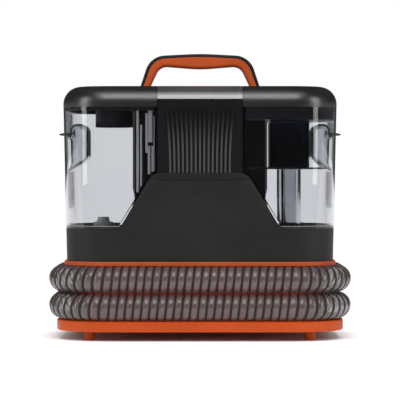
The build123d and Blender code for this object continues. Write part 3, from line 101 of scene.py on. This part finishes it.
PORT_START = (0.1218, 0.0265, LOWER_TURN)
STRAIGHT_X = 0.089
STRAIGHT_Y = 0.026


def front_run(z):
    """Two points that keep the hose straight across the front."""
    return [(STRAIGHT_X, -HALF_DEPTH, z), (-STRAIGHT_X, -HALF_DEPTH, z)]


def left_run(z):
    """Two points that keep the hose straight along the left side."""
    return [(-HALF_WIDTH, -STRAIGHT_Y, z), (-HALF_WIDTH, STRAIGHT_Y, z)]


def front_and_left(z):
    """The hose from the right front corner to the left rear corner."""
    return (
        corner_points(1, -1, True, z)
        + front_run(z)
        + corner_points(-1, -1, False, z)
        + left_run(z)
        + corner_points(-1, 1, True, z)
    )


HOSE_ROUTE = (
    [PORT_START, (HALF_WIDTH, -0.019, LOWER_TURN)]
    + front_and_left(LOWER_TURN)
    + [(-STRAIGHT_X, HALF_DEPTH, LOWER_TURN), (-0.012, HALF_DEPTH, LOWER_TURN)]
    + [(0.092, HALF_DEPTH, UPPER_TURN)]
    + corner_points(1, 1, False, UPPER_TURN)
    + [(HALF_WIDTH, STRAIGHT_Y, UPPER_TURN), (HALF_WIDTH, -STRAIGHT_Y, UPPER_TURN)]
    + front_and_left(UPPER_TURN)
    + [(-STRAIGHT_X, HALF_DEPTH, UPPER_TURN), (-0.0395, TAIL_Y, UPPER_TURN)]
    + [(-0.0145, TAIL_Y, 0.084), (0, TAIL_Y, 0.109), (0, TAIL_Y, TAIL_TOP)]
)


def route_curve(name, points):
    """An open NURBS spline of order three through a route's control points."""
    data = bpy.data.curves.new(name, "CURVE")
    data.dimensions = "3D"
    data.resolution_u = 16
    spline = data.splines.new("NURBS")
    spline.points.add(len(points) - 1)
    for point, place in zip(spline.points, points):
        point.co = (*place, 1)
    spline.order_u = 3
    spline.use_endpoint_u = True
    curve = bpy.data.objects.new(name, data)
    bpy.context.scene.collection.objects.link(curve)
    return curve


def line_of(curve):
    """The points of a route's smooth line."""
    bpy.context.view_layer.update()
    mesh = bpy.data.meshes.new_from_object(curve.evaluated_get(bpy.context.evaluated_depsgraph_get()))
    points = [vertex.co.copy() for vertex in mesh.vertices]
    bpy.data.meshes.remove(mesh)
    return points


def link(tree, start, end):
    """Join an output socket to an input socket."""
    tree.links.new(start, end)


def math_node(tree, operation, first, second=None, third=None):
    """A Math node in any tree, fed by sockets or numbers. Gives its output socket."""
    node = tree.nodes.new("ShaderNodeMath")
    node.operation = operation
    for socket, value in zip(node.inputs, (first, second, third)):
        if value is None:
            continue
        if isinstance(value, (int, float)):
            socket.default_value = value
        else:
            link(tree, value, socket)
    return node.outputs[0]


def new_geometry_tree(name, numbers):
    """A Geometry Nodes tree with a mesh in, a mesh out and named number inputs."""
    tree = bpy.data.node_groups.new(name, "GeometryNodeTree")
    tree.interface.new_socket("Geometry", in_out="INPUT", socket_type="NodeSocketGeometry")
    tree.interface.new_socket("Geometry", in_out="OUTPUT", socket_type="NodeSocketGeometry")
    for label, value in numbers.items():
        socket = tree.interface.new_socket(label, in_out="INPUT", socket_type="NodeSocketFloat")
        socket.default_value = value
    return tree, tree.nodes.new("NodeGroupInput"), tree.nodes.new("NodeGroupOutput")


def hose_tree():
    """Sweeps a ring along the hose's line and draws a helical groove into it."""
    sizes = {"Pitch": RIB_PITCH, "Depth": RIB_DEPTH, "Radius": RIB_RADIUS}
    tree, given, made = new_geometry_tree("ribbed hose", sizes)
    to_curve = tree.nodes.new("GeometryNodeMeshToCurve")
    link(tree, given.outputs["Geometry"], to_curve.inputs["Mesh"])
    resample = tree.nodes.new("GeometryNodeResampleCurve")
    resample.inputs["Count"].default_value = int(HOSE_LENGTH / RIB_PITCH) * RIB_STEPS
    link(tree, to_curve.outputs["Curve"], resample.inputs["Curve"])
    along = tree.nodes.new("GeometryNodeCaptureAttribute")
    along.capture_items.new("FLOAT", "along")
    length_along = tree.nodes.new("GeometryNodeSplineParameter")
    link(tree, resample.outputs["Curve"], along.inputs["Geometry"])
    link(tree, length_along.outputs["Length"], along.inputs[1])
    ring = tree.nodes.new("GeometryNodeCurvePrimitiveCircle")
    ring.inputs["Resolution"].default_value = RING_STEPS
    link(tree, given.outputs["Radius"], ring.inputs["Radius"])
    around = tree.nodes.new("GeometryNodeCaptureAttribute")
    around.capture_items.new("FLOAT", "around")
    share_around = tree.nodes.new("GeometryNodeSplineParameter")
    link(tree, ring.outputs["Curve"], around.inputs["Geometry"])
    link(tree, share_around.outputs["Factor"], around.inputs[1])
    sweep = tree.nodes.new("GeometryNodeCurveToMesh")
    sweep.inputs["Fill Caps"].default_value = True
    link(tree, along.outputs["Geometry"], sweep.inputs["Curve"])
    link(tree, around.outputs["Geometry"], sweep.inputs["Profile Curve"])
    turns = math_node(tree, "DIVIDE", along.outputs[1], given.outputs["Pitch"])
    phase = math_node(tree, "FRACT", math_node(tree, "ADD", turns, around.outputs[1]))
    from_rib = math_node(tree, "ABSOLUTE", math_node(tree, "SUBTRACT", phase, 0.5))
    share = math_node(tree, "MINIMUM", math_node(tree, "MULTIPLY", from_rib, 2.0), 1.0)
    rib = math_node(tree, "SUBTRACT", 1.0, math_node(tree, "POWER", share, RIB_SQUARENESS))
    sink = math_node(tree, "MULTIPLY", math_node(tree, "SUBTRACT", rib, 1.0), given.outputs["Depth"])
    keep = tree.nodes.new("GeometryNodeStoreNamedAttribute")
    keep.inputs["Name"].default_value = "rib"
    link(tree, sweep.outputs["Mesh"], keep.inputs["Geometry"])
    link(tree, rib, keep.inputs["Value"])
    outward = tree.nodes.new("ShaderNodeVectorMath")
    outward.operation = "SCALE"
    normal = tree.nodes.new("GeometryNodeInputNormal")
    link(tree, normal.outputs[0], outward.inputs[0])
    link(tree, sink, outward.inputs["Scale"])
    move = tree.nodes.new("GeometryNodeSetPosition")
    link(tree, keep.outputs["Geometry"], move.inputs["Geometry"])
    link(tree, outward.outputs[0], move.inputs["Offset"])
    smooth = tree.nodes.new("GeometryNodeSetShadeSmooth")
    link(tree, move.outputs["Geometry"], smooth.inputs["Geometry"])
    finish_tree(tree, smooth.outputs["Geometry"], made, hose_vinyl)
    return tree


def finish_tree(tree, geometry, made, material):
    """Realize instances, set the material and send the mesh out."""
    realize = tree.nodes.new("GeometryNodeRealizeInstances")
    paint = tree.nodes.new("GeometryNodeSetMaterial")
    paint.inputs["Material"].default_value = material
    link(tree, geometry, realize.inputs["Geometry"])
    link(tree, realize.outputs["Geometry"], paint.inputs["Geometry"])
    link(tree, paint.outputs["Geometry"], made.inputs["Geometry"])


def grown(source, tree, name):
    """The plain mesh that a Geometry Nodes tree makes from a source object, which is then removed."""
    modifier = source.modifiers.new("grow", "NODES")
    modifier.node_group = tree
    bpy.context.view_layer.update()
    graph = bpy.context.evaluated_depsgraph_get()
    mesh = bpy.data.meshes.new_from_object(source.evaluated_get(graph))
    bpy.data.objects.remove(source)
    piece = bpy.data.objects.new(name, mesh)
    bpy.context.scene.collection.objects.link(piece)
    return piece


def add_hose():
    """The wound hose: ribbed, smoked, and closed at both ends."""
    curve = route_curve("hose line", HOSE_ROUTE)
    line = line_of(curve)
    bpy.data.objects.remove(curve)
    mesh = bpy.data.meshes.new("hose line")
    mesh.from_pydata(line, [(i, i + 1) for i in range(len(line) - 1)], [])
    source = bpy.data.objects.new("hose line", mesh)
    bpy.context.scene.collection.objects.link(source)
    hose = grown(source, hose_tree(), "ribbed_hose")
    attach(hose, "housing")
    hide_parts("hose")


# ------------------------------------------------------------------ materials
def new_material(name):
    """A node material with a Principled shader. Gives the material, its tree and the shader."""
    material = bpy.data.materials.new(name)
    material.use_nodes = True
    tree = material.node_tree
    return material, tree, tree.nodes["Principled BSDF"]


def object_noise(tree, scale, detail=2.0):
    """Noise on Object coordinates. Gives its value socket."""
    place = tree.nodes.new("ShaderNodeTexCoord")
    noise = tree.nodes.new("ShaderNodeTexNoise")
    noise.inputs["Scale"].default_value = scale
    noise.inputs["Detail"].default_value = detail
    link(tree, place.outputs["Object"], noise.inputs["Vector"])
    return noise.outputs["Fac"]


def ramp(tree, value, stops):
    """A colour ramp. Stops are (position, colour)."""
    node = tree.nodes.new("ShaderNodeValToRGB")
    while len(node.color_ramp.elements) < len(stops):
        node.color_ramp.elements.new(0.5)
    for element, (position, colour) in zip(node.color_ramp.elements, stops):
        element.position = position
        element.color = (*colour, 1)
    link(tree, value, node.inputs["Fac"])
    return node.outputs["Color"]


def spread(tree, value, low, high):
    """Maps a value from 0..1 to low..high."""
    node = tree.nodes.new("ShaderNodeMapRange")
    node.inputs["To Min"].default_value = low
    node.inputs["To Max"].default_value = high
    link(tree, value, node.inputs["Value"])
    return node.outputs["Result"]


def bump(tree, shader, height, strength, distance):
    """Bump on a shader's normal."""
    node = tree.nodes.new("ShaderNodeBump")
    node.inputs["Strength"].default_value = strength
    node.inputs["Distance"].default_value = distance
    link(tree, height, node.inputs["Height"])
    link(tree, node.outputs["Normal"], shader.inputs["Normal"])


def moulded(name, dark, light, rough_low, rough_high, grain, grain_depth, coat=0.0, specular=0.5):
    """Moulded plastic: slow colour and gloss variation, with a fine grain."""
    material, tree, shader = new_material(name)
    colour = ramp(tree, object_noise(tree, 14, 3), [(0.35, dark), (0.65, light)])
    link(tree, colour, shader.inputs["Base Color"])
    link(tree, spread(tree, object_noise(tree, 55, 4), rough_low, rough_high), shader.inputs["Roughness"])
    bump(tree, shader, object_noise(tree, grain, 2), grain_depth, 0.0002)
    shader.inputs["Coat Weight"].default_value = coat
    shader.inputs["Coat Roughness"].default_value = 0.08
    shader.inputs["Specular IOR Level"].default_value = specular
    return material


def facing(tree, blend):
    """How far a surface is turned away from the eye, from 0 to 1."""
    weight = tree.nodes.new("ShaderNodeLayerWeight")
    weight.inputs["Blend"].default_value = blend
    return weight.outputs["Facing"]


def mixed(tree, factor, first, second):
    """Colour mix of two colours or sockets."""
    mix = tree.nodes.new("ShaderNodeMix")
    mix.data_type = "RGBA"
    link(tree, factor, mix.inputs["Factor"])
    for socket, value in ((mix.inputs["A"], first), (mix.inputs["B"], second)):
        if isinstance(value, tuple):
            socket.default_value = (*value, 1)
        else:
            link(tree, value, socket)
    return mix.outputs["Result"]


def object_axis(tree, axis):
    """One of a piece's own coordinates."""
    place = tree.nodes.new("ShaderNodeTexCoord")
    parts = tree.nodes.new("ShaderNodeSeparateXYZ")
    link(tree, place.outputs["Object"], parts.inputs[0])
    return parts.outputs[axis]


def step_between(tree, value, low, high):
    """0 below low, 1 above high, smooth between."""
    node = tree.nodes.new("ShaderNodeMapRange")
    node.interpolation_type = "SMOOTHSTEP"
    node.inputs["From Min"].default_value = low
    node.inputs["From Max"].default_value = high
    link(tree, value, node.inputs["Value"])
    return node.outputs["Result"]


def see_through(name, tint, rough, edge, rim, dark_outline_span=None):
    """Clear moulded plastic: refracts, darker along its rims, with a faint flow pattern in its surface. Given
    an outline span, it also gets a painted dark outline at its outer sides and painted shade over its floor.
    """
    material, tree, shader = new_material(name)
    flow = ramp(tree, object_noise(tree, 9, 2), [(0.3, tint), (0.7, edge)])
    turned = step_between(tree, facing(tree, 0.5), 0.93, 0.995)
    colour = mixed(tree, turned, flow, rim)
    if dark_outline_span:
        # painted shade: a dark outline at the outer sides, and a dark floor below TANK_FLOOR that lets little
        # light through
        outside = step_between(tree, math_node(tree, "ABSOLUTE", object_axis(tree, "X")), *dark_outline_span)
        colour = mixed(tree, outside, colour, OUTLINE_SHADE_GREY)
        above = step_between(tree, object_axis(tree, "Z"), TANK_FLOOR, TANK_FLOOR + FLOOR_FADE)
        colour = mixed(tree, above, TANK_FLOOR_SHADE_GREY, colour)
        link(tree, spread(tree, above, 0.12, 1.0), shader.inputs["Transmission Weight"])
    else:
        shader.inputs["Transmission Weight"].default_value = 1.0
    link(tree, colour, shader.inputs["Base Color"])
    link(tree, spread(tree, object_noise(tree, 40, 2), rough * 0.5, rough), shader.inputs["Roughness"])
    bump(tree, shader, object_noise(tree, 60, 1), 0.05, 0.0002)
    shader.inputs["IOR"].default_value = 1.45
    return material


def smoked_vinyl():
    """The hose: smoky see-through ribs and near-black grooves.

    Before the drum, the side of the wall that faces away from the viewer is hidden.
    """
    material, tree, shader = new_material("smoked vinyl")
    rib = tree.nodes.new("ShaderNodeAttribute")
    rib.attribute_name = "rib"
    body = step_between(tree, rib.outputs["Fac"], *RIB_STEP)
    cloud = object_noise(tree, 60, 2)
    smoke = ramp(tree, cloud, [(0.3, (0.085, 0.062, 0.060)), (0.7, (0.11, 0.083, 0.08))])
    link(tree, mixed(tree, body, GROOVE_BLACK, smoke), shader.inputs["Base Color"])
    rough = math_node(tree, "ADD", spread(tree, cloud, 0.0, 0.06), spread(tree, body, 0.8, 0.26))
    link(tree, rough, shader.inputs["Roughness"])
    side = tree.nodes.new("ShaderNodeNewGeometry")
    past_drum = step_between(tree, math_node(tree, "ABSOLUTE", object_axis(tree, "X")), *DRUM_END)
    before_drum = math_node(tree, "SUBTRACT", 1.0, past_drum)
    hidden = math_node(tree, "MULTIPLY", side.outputs["Backfacing"], before_drum)
    near = math_node(tree, "SUBTRACT", 1.0, hidden)
    solid = spread(tree, body, GROOVE_ALPHA, RIB_ALPHA)
    link(tree, math_node(tree, "MULTIPLY", solid, near), shader.inputs["Alpha"])
    bump(tree, shader, object_noise(tree, 500, 2), 0.04, 0.0002)
    shader.inputs["Specular IOR Level"].default_value = 0.6
    link(tree, spread(tree, body, 0.0, 0.9), shader.inputs["Coat Weight"])
    shader.inputs["Coat Roughness"].default_value = 0.16
    return material


def painted_ridge_highlights():
    """The column's ribbed front: near-black, with the ridges painted paler as a painted highlight and the
    valleys left dark as painted shade; the painted highlight fades into the top.
    """
    material, tree, shader = new_material("panel plastic, painted ridge highlights")
    lean = math_node(tree, "MULTIPLY", object_axis(tree, "Z"), PANEL_LEAN)
    proud = math_node(tree, "ADD", object_axis(tree, "Y"), lean)
    ridge_highlight = step_between(tree, proud, RIDGE_Y + RIDGE_FADE, RIDGE_Y)
    height = step_between(tree, object_axis(tree, "Z"), RIDGE_FADE_TOP, RIDGE_FADE_FOOT)
    weight = math_node(tree, "MULTIPLY", ridge_highlight, height)
    # painted highlight on the proudest ridges, fading out towards the top; painted shade in the valleys
    colour = mixed(tree, weight, (0.005, 0.005, 0.0055), (0.046, 0.046, 0.047))
    link(tree, colour, shader.inputs["Base Color"])
    shader.inputs["Specular IOR Level"].default_value = 0.2
    link(tree, spread(tree, object_noise(tree, 55, 4), 0.34, 0.44), shader.inputs["Roughness"])
    bump(tree, shader, object_noise(tree, 1400, 2), 0.2, 0.0002)
    return material


RIB_STEP = (0.52, 0.76)
RIB_ALPHA = 0.64
GROOVE_ALPHA = 0.985
GROOVE_BLACK = (0.005, 0.005, 0.005)
DRUM_END = (0.136, 0.148)
# painted shade colours for the clear tanks' outer outline and floor
OUTLINE_SHADE_GREY = (0.05, 0.05, 0.055)
TANK_FLOOR_SHADE_GREY = (0.03, 0.03, 0.033)
TANK_FLOOR = 0.1298
FLOOR_FADE = 0.0012
# where the painted ridge highlight fades: across each ridge and up the panel
RIDGE_FADE = 0.0012
RIDGE_FADE_TOP = 0.262
RIDGE_FADE_FOOT = 0.215
PANEL_LEAN = math.tan(math.radians(1.35))
RIDGE_Y = -0.091 + 0.0899 * PANEL_LEAN

orange_plastic = moulded(
    "orange plastic", (0.40, 0.047, 0.0025), (0.46, 0.055, 0.003), 0.40, 0.52, 900, 0.12, specular=0.2
)
# darker copies of the orange plastic, as painted shade: the flange under the body's edge, the drum between
# the hose turns
flange_orange_shaded = moulded(
    "flange orange, painted shade", (0.29, 0.046, 0.008), (0.34, 0.054, 0.010), 0.42, 0.54, 900, 0.12, specular=0.2
)
drum_orange_shaded = moulded(
    "drum orange, painted shade", (0.26, 0.028, 0.003), (0.31, 0.034, 0.004), 0.42, 0.54, 900, 0.12, specular=0.2
)
dark_plastic = moulded(
    "dark plastic", (0.009, 0.009, 0.009), (0.012, 0.012, 0.012), 0.44, 0.56, 1400, 0.25, specular=0.2
)
panel_highlight_plastic = painted_ridge_highlights()
lid_plastic = moulded(
    "lid plastic", (0.005, 0.005, 0.0055), (0.008, 0.008, 0.0085), 0.30, 0.36, 300, 0.04, specular=1.0
)
cap_plastic = moulded(
    "top cap plastic", (0.03, 0.03, 0.031), (0.04, 0.04, 0.041), 0.22, 0.30, 300, 0.04, coat=1.0, specular=1.0
)
valve_plastic = moulded("valve plastic", (0.74, 0.75, 0.78), (0.80, 0.81, 0.84), 0.30, 0.40, 500, 0.05)
inner_plastic = moulded("inner plastic", (0.008, 0.009, 0.013), (0.013, 0.015, 0.021), 0.30, 0.45, 900, 0.1)
soft_black = moulded("soft black", (0.012, 0.012, 0.012), (0.02, 0.02, 0.02), 0.55, 0.75, 1200, 0.3)
grip_plastic = moulded(
    "grip plastic", (0.38, 0.056, 0.007), (0.44, 0.066, 0.009), 0.45, 0.58, 1500, 0.3, specular=0.25
)
float_foam = moulded("float foam", (0.62, 0.62, 0.6), (0.75, 0.75, 0.72), 0.6, 0.8, 700, 0.4)
steel = moulded("steel", (0.42, 0.42, 0.43), (0.52, 0.52, 0.53), 0.25, 0.4, 800, 0.1)
steel.node_tree.nodes["Principled BSDF"].inputs["Metallic"].default_value = 1.0
board_green = moulded("board green", (0.02, 0.11, 0.045), (0.03, 0.15, 0.06), 0.3, 0.4, 500, 0.1)
# the clear tanks carry the painted dark outline and the painted floor shade
clear_plastic = see_through(
    "clear tank plastic", (0.80, 0.81, 0.835), 0.02, (0.83, 0.84, 0.86), (0.30, 0.30, 0.31),
    dark_outline_span=(0.1585, 0.160),
)
smoked_plastic = see_through(
    "smoked plastic", (0.80, 0.81, 0.83), 0.05, (0.84, 0.85, 0.87), (0.12, 0.12, 0.13)
)
hood_plastic = see_through(
    "hood plastic", (0.045, 0.055, 0.10), 0.05, (0.055, 0.065, 0.115), (0.02, 0.02, 0.03)
)
# pale, partly see-through plastic for the bars that paint highlight streaks in the clean tank
streak_highlight_plastic = moulded("streak highlight plastic", (0.72, 0.73, 0.76), (0.86, 0.87, 0.90), 0.10, 0.18, 60, 0.25)
streak_highlight_plastic.node_tree.nodes["Principled BSDF"].inputs["Transmission Weight"].default_value = 0.35
hose_vinyl = smoked_vinyl()

FINISHES = {
    "orange_shell": orange_plastic,
    "dark_shell": dark_plastic,
    "gloss_black": lid_plastic,
    "inner_black": inner_plastic,
    "clear_tank": clear_plastic,
    "smoked_clear": smoked_plastic,
    "hose_vinyl": hose_vinyl,
    "soft_black": soft_black,
    "tool_black": dark_plastic,
    "button_orange": orange_plastic,
    "float_foam": float_foam,
    "bristles": soft_black,
    "steel": steel,
    "motor_metal": steel,
    "impeller": steel,
    "board": board_green,
}
SPECIAL = {
    "ribbed_panel": panel_highlight_plastic,
    "top_cap": cap_plastic,
    "handle_grip": grip_plastic,
    "separator_hood": hood_plastic,
    # painted shade: the flange and the drum get the darker orange copies
    "ring_flange": flange_orange_shaded,
    "hose_drum": drum_orange_shaded,
    "valve_body": valve_plastic,
    "valve_stem": valve_plastic,
}


# ------------------------------------------------------------------ carried-over pieces
def soft_shading_tree():
    """Merges a piece's loose triangles and shades it smooth except at its sharp edges."""
    tree, given, made = new_geometry_tree("soft shading", {"Sharp angle": math.radians(32)})
    merge = tree.nodes.new("GeometryNodeMergeByDistance")
    merge.inputs["Distance"].default_value = 0.000005
    link(tree, given.outputs["Geometry"], merge.inputs["Geometry"])
    faces = tree.nodes.new("GeometryNodeSetShadeSmooth")
    link(tree, merge.outputs["Geometry"], faces.inputs["Geometry"])
    angle = tree.nodes.new("GeometryNodeInputMeshEdgeAngle")
    compare = tree.nodes.new("FunctionNodeCompare")
    compare.operation = "GREATER_THAN"
    link(tree, angle.outputs["Unsigned Angle"], compare.inputs[0])
    link(tree, given.outputs["Sharp angle"], compare.inputs[1])
    edges = tree.nodes.new("GeometryNodeSetShadeSmooth")
    edges.domain = "EDGE"
    edges.inputs["Shade Smooth"].default_value = False
    link(tree, faces.outputs["Geometry"], edges.inputs["Geometry"])
    link(tree, compare.outputs["Result"], edges.inputs["Selection"])
    link(tree, edges.outputs["Geometry"], made.inputs["Geometry"])
    return tree


def finish_nodes():
    """Give every carried-over piece its finish and soft shading."""
    shading = soft_shading_tree()
    slots = {entry["node"]: entry["material_slot"] for entry in frame["record"]["subparts"]}
    for name, node in nodes.items():
        material = SPECIAL.get(name, FINISHES[slots[name]])
        node.data.materials.clear()
        node.data.materials.append(material)
        node.modifiers.new("soft shading", "NODES").node_group = shading


finish_nodes()
add_hose()


# ------------------------------------------------------------------ painted highlight streaks
STREAK_BAR_Y = -0.0868
STREAK_BAR_DEPTH = 0.0022
# x, width, foot and top of each bar
CLEAN_TANK_STREAK_BARS = [
    (-0.0711, 0.0030, 0.1690, 0.262), (-0.0671, 0.0024, 0.1760, 0.246), (-0.0608, 0.0030, 0.214, 0.259),
    (-0.0567, 0.0052, 0.226, 0.262), (-0.0580, 0.0030, 0.1895, 0.222), (-0.0541, 0.0026, 0.1925, 0.222),
    (-0.0522, 0.0014, 0.1930, 0.256),
]


def upright_bar(bm, x, y, width, depth, z_low, z_high, sides=14):
    """A half-round bar that stands against a wall, flat side back, closed at both ends."""
    section = [(x - width / 2, y)]
    for i in range(sides + 1):
        angle = math.pi - math.pi * i / sides
        section.append((x + width / 2 * math.cos(angle), y - depth * math.sin(angle)))
    section.append((x + width / 2, y))
    low = [bm.verts.new((px, py, z_low)) for px, py in section]
    high = [bm.verts.new((px, py, z_high)) for px, py in section]
    for i in range(len(section)):
        j = (i + 1) % len(section)
        bm.faces.new((low[i], low[j], high[j], high[i]))
    bm.faces.new(low[::-1])
    bm.faces.new(high)


def add_tank_highlight_streaks():
    """Pale half-round bars at the clean tank's front wall, beside the column: painted highlight streaks in
    place of the bright streaks that light makes in the clear wall there. The CAD has none.
    """
    bm = bmesh.new()
    for x, width, z_low, z_high in CLEAN_TANK_STREAK_BARS:
        upright_bar(bm, x, STREAK_BAR_Y, width, STREAK_BAR_DEPTH, z_low, z_high)
    bmesh.ops.remove_doubles(bm, verts=bm.verts, dist=1e-6)
    bmesh.ops.recalc_face_normals(bm, faces=bm.faces)
    mesh = bpy.data.meshes.new("clean_tank_highlight_streaks")
    bm.to_mesh(mesh)
    bm.free()
    streak_bars = bpy.data.objects.new("clean_tank_highlight_streaks", mesh)
    bpy.context.scene.collection.objects.link(streak_bars)
    mesh.materials.append(streak_highlight_plastic)
    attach(streak_bars, "clean_tank")


add_tank_highlight_streaks()


# ------------------------------------------------------------------ studio
FLOOR_FRONT = -0.78
FLOOR_REACH = 12
GLOW_START = 0.30
GLOW_FULL = 0.95
AMBIENT = 0.62
MIRRORED = 0.05


def soft_box(name, place, target, size, power, shines):
    """A rectangular lamp that points at a target. It shows in gloss only where asked."""
    data = bpy.data.lights.new(name, "AREA")
    data.shape = "RECTANGLE"
    data.size, data.size_y = size
    data.energy = power
    light = bpy.data.objects.new(name, data)
    light.location = place
    light.rotation_euler = (Vector(target) - Vector(place)).to_track_quat("-Z", "Y").to_euler()
    light.visible_glossy = shines
    light.visible_camera = False
    light.visible_transmission = False
    bpy.context.scene.collection.objects.link(light)


def add_floor():
    """Plain pale floor, that ends in front so that the machine's face mirrors a dark room."""
    corners = [
        (-FLOOR_REACH, FLOOR_FRONT, 0), (FLOOR_REACH, FLOOR_FRONT, 0),
        (FLOOR_REACH, FLOOR_REACH, 0), (-FLOOR_REACH, FLOOR_REACH, 0),
    ]
    mesh = bpy.data.meshes.new("floor")
    mesh.from_pydata(corners, [], [(0, 1, 2, 3)])
    floor = bpy.data.objects.new("floor", mesh)
    bpy.context.scene.collection.objects.link(floor)
    material, tree, shader = new_material("pale floor")
    shade = ramp(tree, object_noise(tree, 2, 2), [(0.3, (0.88, 0.88, 0.88)), (0.7, (0.90, 0.90, 0.90))])
    across = math_node(tree, "POWER", object_axis(tree, "X"), 2.0)
    along = math_node(tree, "POWER", object_axis(tree, "Y"), 2.0)
    distance = math_node(tree, "SQRT", math_node(tree, "ADD", across, along))
    shader.inputs["Emission Color"].default_value = (1, 1, 1, 1)
    glow = step_between(tree, distance, GLOW_START, GLOW_FULL)
    link(tree, mixed(tree, glow, shade, (0.0, 0.0, 0.0)), shader.inputs["Base Color"])
    link(tree, glow, shader.inputs["Emission Strength"])
    shader.inputs["Roughness"].default_value = 1.0
    shader.inputs["Specular IOR Level"].default_value = 0.0
    floor.data.materials.append(material)


def add_surround():
    """White where it is looked at, softer where it lights, and dark where gloss mirrors it."""
    world = bpy.data.worlds.new("studio")
    bpy.context.scene.world = world
    world.use_nodes = True
    tree = world.node_tree
    background = tree.nodes["Background"]
    path = tree.nodes.new("ShaderNodeLightPath")
    soft = math_node(tree, "MINIMUM", path.outputs["Diffuse Depth"], 1.0)
    glossy = math_node(tree, "MINIMUM", path.outputs["Glossy Depth"], 1.0)
    mirrored = math_node(tree, "MULTIPLY", glossy, math_node(tree, "SUBTRACT", 1.0, soft))
    lit = math_node(tree, "MULTIPLY_ADD", soft, AMBIENT - 1.0, 1.0)
    link(tree, math_node(tree, "MULTIPLY_ADD", mirrored, MIRRORED - 1.0, lit), background.inputs["Strength"])
    background.inputs["Color"].default_value = (1.0, 1.0, 1.0, 1)


add_floor()
add_surround()
soft_box("overhead box", (0, 0.1, 2.4), (0, 0, 0), (2.6, 2.6), 46, False)
soft_box("front box", (0, -1.75, 2.05), (0, -0.09, 0.26), (2.0, 1.2), 34, True)
soft_box("high strip", (0, -0.72, 2.15), (0, -0.1, 0.06), (2.2, 0.35), 5, True)
soft_box("left box", (-1.9, -0.9, 0.75), (-0.1, 0, 0.12), (0.5, 1.4), 12, True)
soft_box("right box", (1.9, -0.9, 0.75), (0.1, 0, 0.12), (0.5, 1.4), 12, True)
bpy.context.scene.view_settings.view_transform = "Standard"
